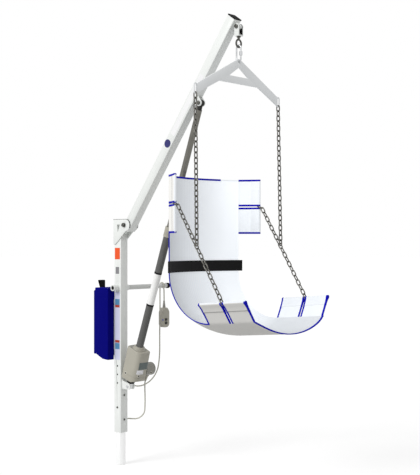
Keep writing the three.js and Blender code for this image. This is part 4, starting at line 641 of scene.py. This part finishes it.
def on_front(name, start, end, left, right, material):
    """A plain plate on the housing's front, bent round its corners."""
    parts = 16
    deselect()
    bpy.ops.mesh.primitive_grid_add(x_subdivisions=parts, y_subdivisions=1)
    plate = bpy.context.object
    plate.name = name
    for vertex in plate.data.vertices:
        along = start + (end - start) * (vertex.co.y + 1) / 2
        y = left + (right - left) * (vertex.co.x + 1) / 2
        vertex.co = actuator_place @ (Vector((along, y, housing_front(along, y) - 0.25)) * MM)
    with_modifier(plate, "SOLIDIFY", thickness=0.4 * MM, offset=0)
    return fitted(smoothed(plate), material, "actuator", "beige_plastic")


on_front("plate_dark", 118, 156, -24, 38, steel_blue)
on_front("plate_silver", 93, 115, -30, 11, silver_foil)


# Push handle
# A round white bar goes through a sleeve welded in the mast, with a black cap on its far end. The hand
# control's cable hangs over it.
sleeve_place = Matrix.Translation(on_mast(0, 0, 757)) @ across
bar_coat = finish("bar_coat", (0.63, 0.64, 0.625), (0.58, 0.59, 0.575), 0.35)
for name, sides, profile, material, slot, nodes in (
        ("handle_sleeve_welded", 48, [(13.1, -52), (13.1, -60), (15.8, -60), (15.8, 48), (13.1, 48), (13.1, -52)],
         white_coat, "mast_paint", ["handle_sleeve"]),
        ("handle_bar_coated", 56, [(10.1, 0), (10.1, -59.2), (10.5, -59.7), (12.3, -59.7), (12.7, -59.3),
                                   (12.7, 357.5)], bar_coat, "mast_paint", ["handle_bar"]),
        ("handle_cap_moulded", 48, [(13.0, 341), (14.2, 341), (14.75, 341.6), (14.75, 358), (14.2, 360), (12.5, 361),
                                    (4, 361.1)], black_plastic, "black_plastic", ["handle_cap"]),
        # A black plug just inside the bar's open end is painted shade for the dark inside of the tube.
        ("handle_bore_shade", 48, [(10, -40), (10, -57.5), (9.4, -58.2)], black_plastic, "black_plastic", []),
        ("handle_ring", 48, [(12.7, 318), (14.4, 318), (14.9, 318.8), (14.9, 323.2), (14.4, 324), (12.7, 324),
                             (12.7, 318)], bar_coat, "mast_paint", [])):
    fitted(turned(name, profile, sleeve_place, sides), material, "mast", slot, *nodes)


# Hand control
# A moulded shell with two rubber buttons, hung on its cable by a tapered boot.
SHELL_HALF, SHELL_TOP, SHELL_FOOT, SHELL_DEPTH = 29, 54, 22, 29
shell_outline = [(12, SHELL_TOP), (-12, SHELL_TOP), (-17, 50), (-24, 41.5), (-SHELL_HALF, 30)]
for quarter, centre in ((pi, SHELL_FOOT - SHELL_HALF), (1.5 * pi, SHELL_HALF - SHELL_FOOT)):
    for step in range(9):
        turn = quarter + step / 8 * pi / 2
        shell_outline.append((centre + SHELL_FOOT * cos(turn), SHELL_FOOT - SHELL_TOP + SHELL_FOOT * sin(turn)))
shell_outline += [(SHELL_HALF, 30), (24, 41.5), (17, 50)]
shell = slab("handset_shell_moulded", [HANDSET_AT + Vector((-SHELL_DEPTH / 2, y, z)) * MM for y, z in shell_outline],
             (SHELL_DEPTH * MM, 0, 0))
with_modifier(shell, "BEVEL", width=3.6 * MM, segments=4, limit_method="ANGLE", angle_limit=radians(60))
fitted(smoothed(shell, 40), beige_plastic, "mast", "beige_plastic", "handset_shell")
BUTTONS_LOWER = 12
for node in ("button_up", "button_down"):
    button = dressed(node, dark_rubber, edge=1.0 * MM)
    set_in_place(button, shift(0, 0, -BUTTONS_LOWER))
boot_place = Matrix.Translation(on_mast(16.5, 309, 0)) @ Matrix.Rotation(-pi / 2, 4, "Y")
relief = turned("handset_boot", [(8, 638.3), (8.2, 640), (8, 647), (7.2, 648), (7.2, 650), (7.5, 650.6), (6.6, 656),
                                 (6, 656.6), (6, 658.4), (6.2, 659), (5.4, 665), (4.9, 665.5), (4.9, 667), (5.1, 667.5),
                                 (4.5, 676.3)], boot_place, sides=32)
fitted(relief, grey_plastic, "mast", "grey_plastic", "handset_relief")
for node in ("handset_grommet", "cable_grommet"):
    dressed(node, black_plastic, edge=0.4 * MM)
blue_dot = turned("handset_dot", [(4.6, 0), (4.6, 0.3), (4.2, 0.5)],
                  Matrix.Translation(HANDSET_AT + Vector((SHELL_DEPTH / 2, -24, -12)) * MM), sides=24)
fitted(blue_dot, finish("blue_dot", (0.01, 0.02, 0.4), (0.01, 0.02, 0.35), 0.4), "mast", "beige_plastic")


# Battery pack
# A plate on the mast's back carries a control box and a battery. A sewn cover of coated cloth slides down
# over both, with a loop of webbing sewn to its back.
dressed("pack_plate", white_coat)
dressed("control_box", grey_plastic, edge=1.2 * MM)
dressed("battery", grey_plastic, edge=1.2 * MM)


def cloth(name, colour, shade, roughness, thread, use_uv=False, stripe=0.0, gloss=0.3, painted_glow=None):
    """Woven cloth: threads in relief, a little painted shade between them, and wide stripes. With painted_glow it glows
    in its own colour, painted light that stands for light coming through it, over two axes, each with (from, to,
    share at from, share at to)."""
    made = bpy.data.materials.new(name)
    made.use_nodes = True
    tree, link = made.node_tree, made.node_tree.links.new
    look = tree.nodes["Principled BSDF"].inputs
    place = shader(tree, "TexCoord").outputs["UV" if use_uv else "Object"]

    def waves(axis, length):
        wave = shader(tree, "TexWave", {"Scale": pi / 10 / length, "Distortion": 0}, bands_direction=axis)
        link(place, wave.inputs["Vector"])
        return wave.outputs["Fac"]

    def product(first, second):
        both = shader(tree, "Math", operation="MULTIPLY")
        link(first, both.inputs[0])
        link(second, both.inputs[1])
        return both.outputs[0]

    height = waves("X", thread)
    for axis in "Y" if use_uv else "YZ":
        height = product(height, waves(axis, thread))
    clouds = shader(tree, "TexNoise", {"Scale": 14, "Detail": 5})
    # The tone mixes random clouds with painted shade where the threads lie low.
    mottle_and_thread_shade = shader(tree, "Math", {1: 0.5}, operation="MULTIPLY_ADD")
    tones = shader(tree, "Mix", {"A": (*shade, 1), "B": (*colour, 1)}, data_type="RGBA")
    relief = shader(tree, "Bump", {"Strength": 0.35, "Distance": thread * 0.3})
    for source, target in ((place, clouds.inputs["Vector"]), (clouds.outputs["Fac"], mottle_and_thread_shade.inputs[0]),
                           (height, mottle_and_thread_shade.inputs[2]), (mottle_and_thread_shade.outputs[0], tones.inputs["Factor"]),
                           (height, relief.inputs["Height"]), (relief.outputs["Normal"], look["Normal"])):
        link(source, target)
    colour_out = tones.outputs["Result"]
    if stripe:
        soft = shader(tree, "MapRange", {"To Min": 0.95, "To Max": 1.0})
        striped = shader(tree, "Mix", {"Factor": 1}, data_type="RGBA", blend_type="MULTIPLY")
        link(waves("X", stripe), soft.inputs["Value"])
        link(colour_out, striped.inputs["A"])
        link(soft.outputs["Result"], striped.inputs["B"])
        colour_out = striped.outputs["Result"]
    link(colour_out, look["Base Color"])
    look["Roughness"].default_value = roughness
    look["Specular IOR Level"].default_value = gloss
    # Painted light: the cloth glows in its own colour, with a strength that changes along two axes.
    if painted_glow:
        apart = shader(tree, "SeparateXYZ")
        link(place, apart.inputs["Vector"])
        shares = []
        for axis, values in painted_glow.items():
            share = shader(tree, "MapRange", dict(zip(("From Min", "From Max", "To Min", "To Max"), values)))
            link(apart.outputs[axis], share.inputs["Value"])
            shares.append(share.outputs["Result"])
        link(product(*shares), look["Emission Strength"])
        link(colour_out, look["Emission Color"])
    return made


navy_cloth = cloth("navy_cloth", (0.001, 0.001, 0.19), (0.001, 0.001, 0.15), 0.8, 1.1 * MM, gloss=0.05)
black_webbing = cloth("black_webbing", (0.014, 0.014, 0.015), (0.007, 0.007, 0.007), 0.85, 1.6 * MM, gloss=0.15)
COVER_FRONT, COVER_BACK, COVER_HALF = -26.2, -136.4, 69.4
cover_outline = [(COVER_FRONT, 380), (COVER_FRONT, 756.6), (COVER_BACK + 9, 756.6), (COVER_BACK + 9, 742),
                 (COVER_BACK, 742), (COVER_BACK, 407), (COVER_BACK + 20, 407), (COVER_BACK + 69, 384)]
cover = slab("cover_sewn", [on_mast(x, -COVER_HALF, z) for x, z in cover_outline],
             (0, 2 * COVER_HALF * MM, 0))
without_faces(cover, lambda face: face.normal.z < -0.5 and face.center.z < (430 + POST_EXPOSED) * MM)
# The side towards the mast is open between two seams and below a third.
for y in (-26, 26):
    cut_by(cover, Vector((0, y, 0)) * MM, (0, 1, 0))
cut_by(cover, on_mast(0, 0, 703), (0, 0, 1))
without_faces(cover, lambda face: (face.normal.x > 0.9 and abs(face.center.y) < 25 * MM
                                   and face.center.z < (700 + POST_EXPOSED) * MM))
with_modifier(cover, "BEVEL", width=4.5 * MM, segments=3, limit_method="ANGLE", angle_limit=radians(50))
with_modifier(cover, "SOLIDIFY", thickness=2.2 * MM, offset=-1)
smoothed(cover, 32)
fitted(cover, navy_cloth, "cover", "navy_fabric", "battery_cover")


def band(name, loop, way, thickness, closed=True, parts=1):
    """Webbing or cloth that follows a line of points and is as wide as the given way."""
    piece = polygon(name, loop, fill="NOTHING")
    in_edit(piece)
    bpy.ops.mesh.select_mode(type="EDGE")
    for _ in range(parts):
        bpy.ops.mesh.extrude_edges_move(TRANSFORM_OT_translate={"value": tuple(way / parts)})
    bpy.ops.mesh.select_mode(type="VERT")
    out_of_edit()

    def closes_loop(face):
        off_middle = face.center - (loop[0] + loop[-1]) / 2
        return (off_middle - way * (off_middle.dot(way) / way.length_squared)).length < 0.01 * MM

    if not closed:
        without_faces(piece, closes_loop)
    in_edit(piece)
    out_of_edit(faces_out=True)
    return with_modifier(piece, "SOLIDIFY", thickness=thickness, offset=0)


STRAP_BACK, STRAP_HEIGHT, STRAP_WIDTH = -137.3, 757, 30
strap_loop = [(-1.3, -34), (-1.3, 20), (-1.5, 33), (-3, 36.2), (-12, 36.4), (-20.5, 36.2), (-22.6, 33.8),
              (-21, 27), (-14.5, 12), (-9.2, 0), (-8.7, -10), (-8.7, -34), (-5, -34.5)]
strap = band("cover_loop", [on_mast(STRAP_BACK + x, -STRAP_WIDTH / 2, STRAP_HEIGHT + z) for x, z in strap_loop],
             Vector((0, STRAP_WIDTH, 0)) * MM, 2.2 * MM)
smoothed(strap, 50)
fitted(strap, black_webbing, "cover", "black_webbing", "cover_strap")


# Clevis, eye bolt and quick link
# A bent steel clevis hangs on the boom's tip pin. The eye bolt turns in it under a nut, and a stainless quick
# link joins the eye to the spreader.
chain_steel = finish("chain_steel", (0.15, 0.145, 0.13), (0.08, 0.078, 0.07), 0.3, metallic=0.85, patch=80)
dressed("hanger_clevis", white_coat, edge=1.0 * MM)
CLEVIS_INNER, CLEVIS_HALF, CLEVIS_WEB = 11.5, 14, 39
# Thin black sheets on the clevis plates' inner faces are painted shade, for the shade inside the clevis's gap.
clevis_shade_outline = [(CLEVIS_HALF * cos(turn), -CLEVIS_HALF * sin(turn)) for turn in (pi + n / 12 * pi for n in range(13))]
clevis_shade_outline += [(CLEVIS_HALF, -CLEVIS_WEB), (-CLEVIS_HALF, -CLEVIS_WEB)]
dressed("stem_nut", dark_steel, edge=0.6 * MM, angle=25)
tip_x, tip_z = 804.125, 2182.891
for side, hand in HANDS:
    clevis_shade_sheet = slab(f"clevis_painted_shade_{hand}", [Vector((tip_x + u, side * (CLEVIS_INNER - 0.02), tip_z + v)) * MM
                                          for u, v in clevis_shade_outline], (0, -side * 0.2 * MM, 0))
    fitted(clevis_shade_sheet, black_plastic, "hanger", "black_plastic")
down_from_tip = shift(tip_x, 0, tip_z) @ Matrix.Rotation(pi / 2, 4, "Y")


def wire_ring(name, across_centres, long_centres, wire, sides=10, rounds=32):
    """A ring of round wire in the xz plane, its length along x."""
    deselect()
    bpy.ops.mesh.primitive_torus_add(major_segments=rounds, minor_segments=sides,
                                     major_radius=across_centres / 2 * MM, minor_radius=wire / 2 * MM)
    piece = bpy.context.object
    piece.name = name
    stretch = (long_centres - across_centres) / 2 * MM
    for vertex in piece.data.vertices:
        vertex.co.x += stretch if vertex.co.x > 1e-6 else -stretch if vertex.co.x < -1e-6 else 0
    return piece


def merged(name, *pieces):
    deselect()
    for piece in pieces:
        piece.select_set(True)
    bpy.context.view_layer.objects.active = pieces[0]
    bpy.ops.object.join()
    pieces[0].name = name
    return pieces[0]


ring = smoothed(wire_ring("eye_ring", 36, 36, 9, sides=16, rounds=40), 60)
ring.data.transform(down_from_tip @ shift(79, 0, 0))
stem = turned("eye_stem", [(6, 62), (6, 51), (9.2, 50.6), (10, 49.8), (10, 46), (9.2, 45.3), (6, 45.3), (6, 28.6),
                           (5.2, 27.7)], down_from_tip, sides=32)
eye = merged("eye_bolt_forged", ring, stem)
fitted(eye, dark_steel, "swivel", "dark_steel", "eye_bolt")
QUICK_TOP, QUICK_LENGTH = 2094.906, 78.6
link_middle = tip_z - QUICK_TOP + QUICK_LENGTH / 2
quick = smoothed(wire_ring("quick_link_wire", 26, QUICK_LENGTH, 8, sides=16, rounds=40), 60)
quick_place = down_from_tip @ shift(link_middle, 0, 0)
quick.data.transform(quick_place @ Matrix.Rotation(pi / 2, 4, "X"))
nut_place = down_from_tip @ shift(link_middle, 0, 13)
quick_nut = turned("quick_nut", [(6.6, -10), (7.9, -9), (7.9, 9), (6.6, 10)], nut_place, sides=6, angle=20)
quick_link = merged("quick_link_bent", quick, quick_nut)
fitted(quick_link, bright_steel, "spreader", "bright_steel", "quick_link")


# Spreader
# Laser-cut plate with a three-cornered window, coated light blue-grey, with a link welded to each end.
spreader_coat = finish("spreader_coat", (0.83, 0.85, 0.86), (0.79, 0.81, 0.82), 0.32, patch=6)
dressed("spreader_plate", spreader_coat, edge=0.7 * MM)


# Seat line
# The sling is one section swept down the back, round the seat's arc and out to the front. These give a point
# of it from the distance down its edge line and the place in its section.
SEAT_BACK, SEAT_ARC = 450, 231
SEAT_SLOPE = radians(4.7)
SEAT_LEAN = radians(58)
KNEE_HALF, SLING_SAG = 253.5, 67
EAR_WIDTH, EAR_LENGTH, EAR_GAP, FRONT_LIP = 113, 266, 14, 15
ROD_RADIUS = 9.5 / 2
HEM_OUTER = (ROD_RADIUS + 0.3) / cos(pi / 8) + 2
ROD_ALONG = EAR_WIDTH - HEM_OUTER
EAR_END = ROD_ALONG - ROD_RADIUS - 0.6 - 2
SAG_RADIUS = (KNEE_HALF ** 2 + SLING_SAG ** 2) / (2 * SLING_SAG)
KNEE_ANGLE = asin(KNEE_HALF / SAG_RADIUS)
HALF_ARC = SAG_RADIUS * KNEE_ANGLE
ARC_LENGTH = SEAT_ARC * (pi / 2 + SEAT_SLOPE)
FRONT_START = SEAT_BACK + ARC_LENGTH
SLING_LENGTH = FRONT_START + EAR_LENGTH + FRONT_LIP
TAB = (EAR_LENGTH - EAR_GAP) / 2


def seat_line(distance):
    """Down the edge line: x, z, and the way into the seat."""
    if distance < SEAT_BACK:
        return -SEAT_ARC, SEAT_BACK - distance, 1, 0
    if distance < FRONT_START:
        turn = pi + (distance - SEAT_BACK) / SEAT_ARC
        return SEAT_ARC * cos(turn), SEAT_ARC * sin(turn), -cos(turn), -sin(turn)
    run = distance - FRONT_START
    in_x, in_z = -sin(SEAT_SLOPE), cos(SEAT_SLOPE)
    return -SEAT_ARC * in_x + run * in_z, -SEAT_ARC * in_z - run * in_x, in_x, in_z


def rod_point(distance, side):
    x, z, in_x, in_z = seat_line(distance)
    rise = ROD_ALONG * sin(SEAT_LEAN)
    return Vector((x + rise * in_x, side * (KNEE_HALF + ROD_ALONG * cos(SEAT_LEAN)), z + rise * in_z))


def ear_ways(distance, side):
    """At an ear: down the edge line, out along the ear, square to it, and into the seat."""
    _, _, in_x, in_z = seat_line(distance)
    down_line, inward = Vector((in_z, 0, -in_x)), Vector((in_x, 0, in_z))
    outward = Vector((0, side * cos(SEAT_LEAN), 0)) + inward * sin(SEAT_LEAN)
    return down_line, outward, down_line.cross(outward), inward


# Chains
# Welded links of 5.5 mm wire, drawn eight-sided, a quarter turned from one to the next. A side chain runs from
# the back rod to the front rod on each side, and a hanging chain is hooked into its ninth link.
CHAIN_PITCH, CHAIN_WIDTH, CHAIN_WIRE, CONTACT_SPAN = 25.4, 16.9, 5.9, 4.574
WIRE_INNER, WIRE_CORNER = 2.437, 3.447
END_TILT = radians(20)
ROD_SEAT = (ROD_RADIUS + 0.3) / cos(END_TILT) + WIRE_INNER * (1 + sin(END_TILT) / cos(END_TILT))
LINK_LENGTH = CHAIN_PITCH + CONTACT_SPAN
link_shape = smoothed(wire_ring("link_shape", CHAIN_WIDTH, LINK_LENGTH, CHAIN_WIRE, sides=8, rounds=20), 60)


def link_at(centre, length_way, width_way):
    """A copy of the link, its length and width along the given ways, in the seat's or hanger's frame."""
    across_way = length_way.cross(width_way)
    place = Matrix((length_way, width_way, across_way)).transposed().to_4x4()
    place.translation = centre * MM
    copy = in_scene("link", link_shape.data.copy())
    copy.data.transform(place)
    return copy


def chain_run(start, end, count, first_width):
    step = (end - start) / count
    length_way = step.normalized()
    other = length_way.cross(first_width).normalized()
    first = other.cross(length_way).normalized()
    return [link_at(start + step * (n + 0.5), length_way, other if n % 2 else first) for n in range(count)]


def end_link(distance, side, towards):
    down_line, _, _, inward = ear_ways(distance, side)
    length_way = inward * cos(END_TILT) + down_line * (towards * sin(END_TILT))
    centre = rod_point(distance, side) + length_way * (LINK_LENGTH / 2 - ROD_SEAT)
    contact = centre + length_way * (CHAIN_PITCH / 2)
    return (centre, length_way), contact


def side_chain_plan(side):
    back, back_contact = end_link(EAR_LENGTH / 2, side, 1)
    front, front_contact = end_link(FRONT_START + EAR_LENGTH / 2, side, -1)
    span = (front_contact - back_contact).length
    count = 2 * round((span / CHAIN_PITCH - 1) / 2) + 1
    way = (front_contact - back_contact).normalized()
    plane = Vector((0, 1, 0)).cross(way).normalized()
    upward = plane if plane.z > 0 else -plane
    hook = back_contact + way * (span * 8.5 / count) + upward * (CHAIN_WIDTH / 2 - WIRE_INNER - 0.3 - WIRE_CORNER)
    return back, front, back_contact, front_contact, count, plane, hook


SPREADER_HALF = 305
ARM_BOTTOM = 1835.322
# The links welded to the spreader are six-sided and have the section of 6 mm wire.
ARM_WIRE_CORNER = 3 * sqrt(2 * pi / (6 * sin(pi / 3)))
top_bow = ARM_BOTTOM - tip_z + ARM_WIRE_CORNER + 0.3 + WIRE_INNER
hook = side_chain_plan(-1)[-1]
SEAT_AHEAD, CHAIN_DROP = 13, 693
seat_at = Vector((tip_x + SEAT_AHEAD - hook.x, 0, tip_z + top_bow - CHAIN_DROP - hook.z))
seat_place = Matrix.Translation(seat_at * MM)
for side, hand in HANDS:
    back, front, back_contact, front_contact, count, plane, hook = side_chain_plan(side)
    sideways = Vector((0, 1, 0))
    links = [link_at(*back, sideways), *chain_run(back_contact, front_contact, count, plane), link_at(*front, sideways)]
    side_chain = merged(f"side_chain_{hand}_welded", *links)
    set_in_place(side_chain, seat_place)
    fitted(side_chain, chain_steel, "seat", "chain_steel", f"side_chain_{hand}")
    top = Vector((tip_x, side * SPREADER_HALF, tip_z + top_bow - CONTACT_SPAN / 2))
    bottom = seat_at + hook + Vector((0, 0, CONTACT_SPAN / 2))
    count = 2 * round((top - bottom).length / (2 * CHAIN_PITCH))
    hanging = merged(f"hanging_chain_{hand}_welded", *chain_run(top, bottom, count, Vector((1, 0, 0))))
    fitted(hanging, chain_steel, "seat", "chain_steel", f"hanging_chain_{hand}")
bpy.data.objects.remove(link_shape)


# Seat sling
# Open mesh cloth, cut in one piece with four ears. The edges are bound with tape, and each ear's outer edge is
# folded over a rod and sewn down as two sleeves, with a slit between them for the chain's end link.
def section_place(along):
    """A place in the section from its distance off the middle: across, rise, and the turn of the cloth."""
    if abs(along) <= HALF_ARC:
        turn = along / SAG_RADIUS
        return SAG_RADIUS * sin(turn), SAG_RADIUS - SLING_SAG - SAG_RADIUS * cos(turn), turn
    side = 1 if along > 0 else -1
    out = abs(along) - HALF_ARC
    return side * (KNEE_HALF + out * cos(SEAT_LEAN)), out * sin(SEAT_LEAN), side * SEAT_LEAN


def sling_point(distance, along, lifted=0.0):
    x, z, in_x, in_z = seat_line(distance)
    across_at, rise, turn = section_place(along)
    height = rise + lifted * cos(turn)
    return seat_at + Vector((x + height * in_x, across_at - lifted * sin(turn), z + height * in_z))


def spread(start, end, step):
    parts = max(1, round((end - start) / step))
    return [start + (end - start) * n / parts for n in range(parts)]


def tab_stops(start):
    return [start, start + TAB, start + TAB + EAR_GAP, start + EAR_LENGTH]


def cut_edge(distance, along):
    """The front lip is cut in a curve that starts at the ears' front edges."""
    ears_end = FRONT_START + EAR_LENGTH
    if distance <= ears_end:
        return distance
    return ears_end + (distance - ears_end) * max(0.08, 1 - (along / HALF_ARC) ** 6)


row_marks = [*tab_stops(0), SEAT_BACK, *tab_stops(FRONT_START), SLING_LENGTH]
rows = [at for a, b in zip(row_marks, row_marks[1:]) for at in spread(a, b, 11)] + [SLING_LENGTH]
column_marks = [-HALF_ARC - EAR_END, -HALF_ARC, HALF_ARC, HALF_ARC + EAR_END]
columns = [at for a, b in zip(column_marks, column_marks[1:]) for at in spread(a, b, 11)] + [column_marks[-1]]


EARS = (("back", 0), ("front", FRONT_START))


def in_tab(distance):
    for _, start in EARS:
        a, b, c, d = tab_stops(start)
        if a < distance < b or c < distance < d:
            return True
    return False


def corners_in_cut(face):
    """Where the corners of a face of the grid lie in the flat cloth: down the edge line, and across."""
    return [(rows[v // width], columns[v % width]) for v in face.vertices]


deselect()
bpy.ops.mesh.primitive_grid_add(x_subdivisions=len(columns) - 1, y_subdivisions=len(rows) - 1, size=2)
sling = bpy.context.object
sling.name = sling.data.name = "sling_cloth"
width = len(columns)
for number, vertex in enumerate(sling.data.vertices):
    along = columns[number % width]
    vertex.co = sling_point(cut_edge(rows[number // width], along), along) * MM
sling_uv = sling.data.uv_layers.active or sling.data.uv_layers.new(name="cut")
for face in sling.data.polygons:
    for loop, (distance, along) in zip(face.loop_indices, corners_in_cut(face)):
        sling_uv.data[loop].uv = (along * MM, distance * MM)


def between_ears(face):
    """Whether a face of the grid lies beside the seat where no ear is."""
    distance, along = (sum(values) / 4 for values in zip(*corners_in_cut(face)))
    return abs(along) > HALF_ARC and not in_tab(distance)


without_faces(sling, between_ears)
in_edit(sling)
out_of_edit(faces_out=True)
with_modifier(sling, "SOLIDIFY", thickness=2.2 * MM, offset=0)
smoothed(sling, 50)
INNER_TONES = (0.76, 0.785, 0.81), (0.68, 0.705, 0.735)
OUTER_TONES = (0.73, 0.722, 0.695), (0.66, 0.652, 0.63)
# Painted light: all the sling's cloth glows in its own colour. The inner side glows most, more towards +Y and fading
# out round the seat's bend; the back ears glow more than the front ones, the outer side only high on the back, and the
# hems more higher up.
sling_inner = cloth("sling_inner", *INNER_TONES, 0.85, 2.2 * MM, use_uv=True, stripe=14 * MM,
                    painted_glow={"X": (-0.26, 0.2, 0.02, 1.15), "Y": (0.62, 0.85, 0.55, 0)})
sling_ears = cloth("sling_ears", *INNER_TONES, 0.85, 2.2 * MM, use_uv=True,
                   painted_glow={"X": (-0.4, 0.4, 0.9, 1.1), "Y": (0.3, 0.8, 0.34, 0.17)})
sling_outer = cloth("sling_outer", *OUTER_TONES, 0.85, 2.2 * MM, use_uv=True,
                    painted_glow={"X": (-0.4, 0.4, 1, 1), "Y": (0.28, 0.45, 0.3, 0)})
hem_inner = cloth("hem_inner", *INNER_TONES, 0.85, 1.6 * MM,
                  painted_glow={"X": (0.5, 1.1, 1.1, 0.9), "Z": (1.0, 1.5, 0.17, 0.34)})
hem_outer = cloth("hem_outer", *OUTER_TONES, 0.85, 1.6 * MM, painted_glow={"X": (0.5, 1.1, 1, 1), "Z": (1.0, 1.3, 0, 0.3)})
seam_thread = cloth("seam_thread", (0.34, 0.34, 0.33), (0.25, 0.25, 0.25), 0.85, 1.2 * MM)
binding_blue = cloth("binding_blue", (0.003, 0.003, 0.48), (0.002, 0.002, 0.36), 0.8, 1.2 * MM, gloss=0.1)


def two_faced(piece, outer):
    """Gives the side that is turned away from the seated person its own tone of the cloth."""
    piece.data.materials.append(outer)
    for face in piece.data.polygons:
        off_x, off_z = face.center.x / MM - seat_at.x, face.center.z / MM - seat_at.z
        if off_z > 0 and off_x < 0:
            inward = Vector((1, 0, 0))
        else:
            inward = Vector((max(-off_x, 0), 0, max(-off_z, 1)))
        face.material_index = int(face.normal.dot(inward) < 0)


def tape(name, places, width, thicknesses, material, lifted=0.0):
    """Binding tape folded over an edge of the cloth, along (distance, along) places."""
    shape = [(1, -0.5), (1, 0.5), (0.85, 1), (-0.85, 1), (-1, 0.5), (-1, -0.5), (-0.85, -1), (0.85, -1)]
    if isinstance(thicknesses, float):
        thicknesses = [thicknesses] * len(places)
    line = [sling_point(*place, lifted) for place in places]
    normals = [(sling_point(*place, 1) - sling_point(*place, -1)).normalized() for place in places]
    piece = polygon(name, [Vector((-sin(n * pi / 4), cos(n * pi / 4), 0)) for n in range(8)])
    in_edit(piece)
    for _ in line[1:]:
        bpy.ops.mesh.extrude_region_move(TRANSFORM_OT_translate={"value": (0, 0, 0.1)})
    out_of_edit()
    # Each ring of the drawn-out tube is put round its point of the edge.
    heights = sorted({round(vertex.co.z, 3) for vertex in piece.data.vertices})
    for vertex in piece.data.vertices:
        ring_number = heights.index(round(vertex.co.z, 3))
        before, after = line[max(ring_number - 1, 0)], line[min(ring_number + 1, len(line) - 1)]
        normal = normals[ring_number]
        flat = (after - before).normalized().cross(normal).normalized()
        part_x, part_y = shape[round(atan2(vertex.co.y, vertex.co.x) / (pi / 4)) % 8]
        off_line = flat * (part_x * width / 2) + normal * (part_y * thicknesses[ring_number] / 2)
        vertex.co = (line[ring_number] + off_line) * MM
    in_edit(piece)
    out_of_edit(faces_out=True)
    return fitted(smoothed(piece, 60), material, "seat", "sling_fabric")


def line_of(start, end, step=12):
    return [*spread(start, end, step), end]


sling_pieces = []
PLAIN_TOP = 100
for name, places, across_size, material in (
        ("binding_back_top", [(0, a) for a in line_of(-HALF_ARC, HALF_ARC - PLAIN_TOP)], 9, binding_blue),
        ("binding_back_plain", [(0, a) for a in line_of(HALF_ARC - PLAIN_TOP, HALF_ARC)], 6, hem_inner),
        ("binding_front_lip", [(cut_edge(SLING_LENGTH, a), a) for a in line_of(-HALF_ARC, HALF_ARC, 8)], 10,
         binding_blue)):
    sling_pieces.append(tape(name, places, across_size, 4.8, material))
for side, hand in HANDS:
    edge = side * HALF_ARC
    knee_in, knee_lifted = (2.5, 0) if side < 0 else (6, -1.8)
    knee_places = [(d, edge - side * knee_in) for d in line_of(EAR_LENGTH, FRONT_START)]
    sling_pieces.append(tape(f"binding_knee_{hand}", knee_places, 7, 4.0 if side < 0 else 1.4, binding_blue,
                             lifted=knee_lifted))
    # At a sleeve the tape goes round the rod as well.
    ear_stops = [*spread(0, ROD_ALONG - 44, 12), *(ROD_ALONG + u for u in (-44, -28, -12, -2, 3, 6.6))]
    ear_thicknesses = [4.0 if at < ROD_ALONG - 44 else 6.2 for at in ear_stops[:-4]] + [10.0, 16.0, 15.0, 7.0]
    for which, start in EARS:
        for number, stop in enumerate(tab_stops(start)):
            thick = which == "front" and number == 3
            into_ear = (0, -0.5, 0.5, -2)[number]
            sling_pieces.append(tape(f"binding_{which}_{number}_{hand}",
                                     [(stop + into_ear, side * (HALF_ARC + at)) for at in ear_stops],
                                     11 if thick else 9.5, ear_thicknesses, binding_blue))

hem_line = [(-44, 1.9), (-28, 1.9), (-12, 3.6), (-1.6, 6.4)]
hem_line += [(6.5 * cos(turn), 6.5 * sin(turn)) for turn in (radians(100 - 20 * n) for n in range(1, 10))]
hem_line += [(-1.6, -6.4), (-12, -3.6), (-28, -1.9), (-44, -1.9)]
for side, hand in HANDS:
    for which, start in EARS:
        a, b, c, d = tab_stops(start)
        for number, (low, high) in enumerate(((a, b), (c, d))):
            down_line, outward, square, _ = ear_ways((low + high) / 2, side)
            corner = rod_point(low + 0.6, side) + seat_at
            loop = [(corner + outward * u + square * v) * MM for u, v in hem_line]
            hem_way = down_line * (high - low - 1.2) * MM
            hem = band(f"hem_{which}_{number}_{hand}", loop, hem_way, 1.4 * MM, closed=False)
            fitted(smoothed(hem, 50), hem_inner, "seat", "sling_fabric")
            two_faced(hem, hem_outer)
            seam_at = side * (HALF_ARC + ROD_ALONG - 41)
            seam = tape(f"hem_seam_{which}_{number}_{hand}", [(d, seam_at) for d in line_of(low + 4, high - 4)], 3, 1.2,
                        seam_thread, lifted=-2.5)
            sling_pieces += [hem, seam]
fitted(sling, sling_inner, "seat", "sling_fabric", "seat_sling")
two_faced(sling, sling_outer)
sling.data.materials.append(sling_ears)
knee_y = KNEE_HALF * MM
for face in sling.data.polygons:
    if face.material_index == 0 and abs(face.center.y) > knee_y:
        face.material_index = 2
for node in ("back_rod_left", "back_rod_right", "front_rod_left", "front_rod_right"):
    dressed(node, bright_steel, edge=0.6 * MM, angle=30)


# Seat belt
# Black webbing that goes round the sling's back, just above the bend.
BELT_LOW, BELT_WIDTH, BELT_CLEAR, BELT_PAST_KNEE = -4.5, 54, 3.1, 17
belt_steps = 24
belt_centre = SAG_RADIUS - SLING_SAG


def belt_place(radius, turn):
    return seat_at + Vector((belt_centre - radius * cos(turn) - SEAT_ARC, radius * sin(turn), BELT_LOW))


belt_right = KNEE_ANGLE + (BELT_PAST_KNEE + 1) / SAG_RADIUS
belt_left = -KNEE_ANGLE - 6 / SAG_RADIUS
belt_turns = [belt_left + (belt_right - belt_left) * n / belt_steps for n in range(belt_steps + 1)]
belt_loop = [belt_place(SAG_RADIUS + BELT_CLEAR, turn) for turn in belt_turns]
belt_loop += [belt_place(SAG_RADIUS, belt_turns[-1] + 2.4 / SAG_RADIUS)]
belt_loop += [belt_place(SAG_RADIUS - BELT_CLEAR, turn) for turn in reversed(belt_turns)]
belt_loop += [belt_place(SAG_RADIUS, belt_turns[0] - 2.4 / SAG_RADIUS)]
belt = band("belt_webbing", [place * MM for place in belt_loop], Vector((0, 0, BELT_WIDTH * MM)), 1.8 * MM, parts=4)
smoothed(belt, 50)
fitted(belt, black_webbing, "seat", "black_webbing", "seat_belt")
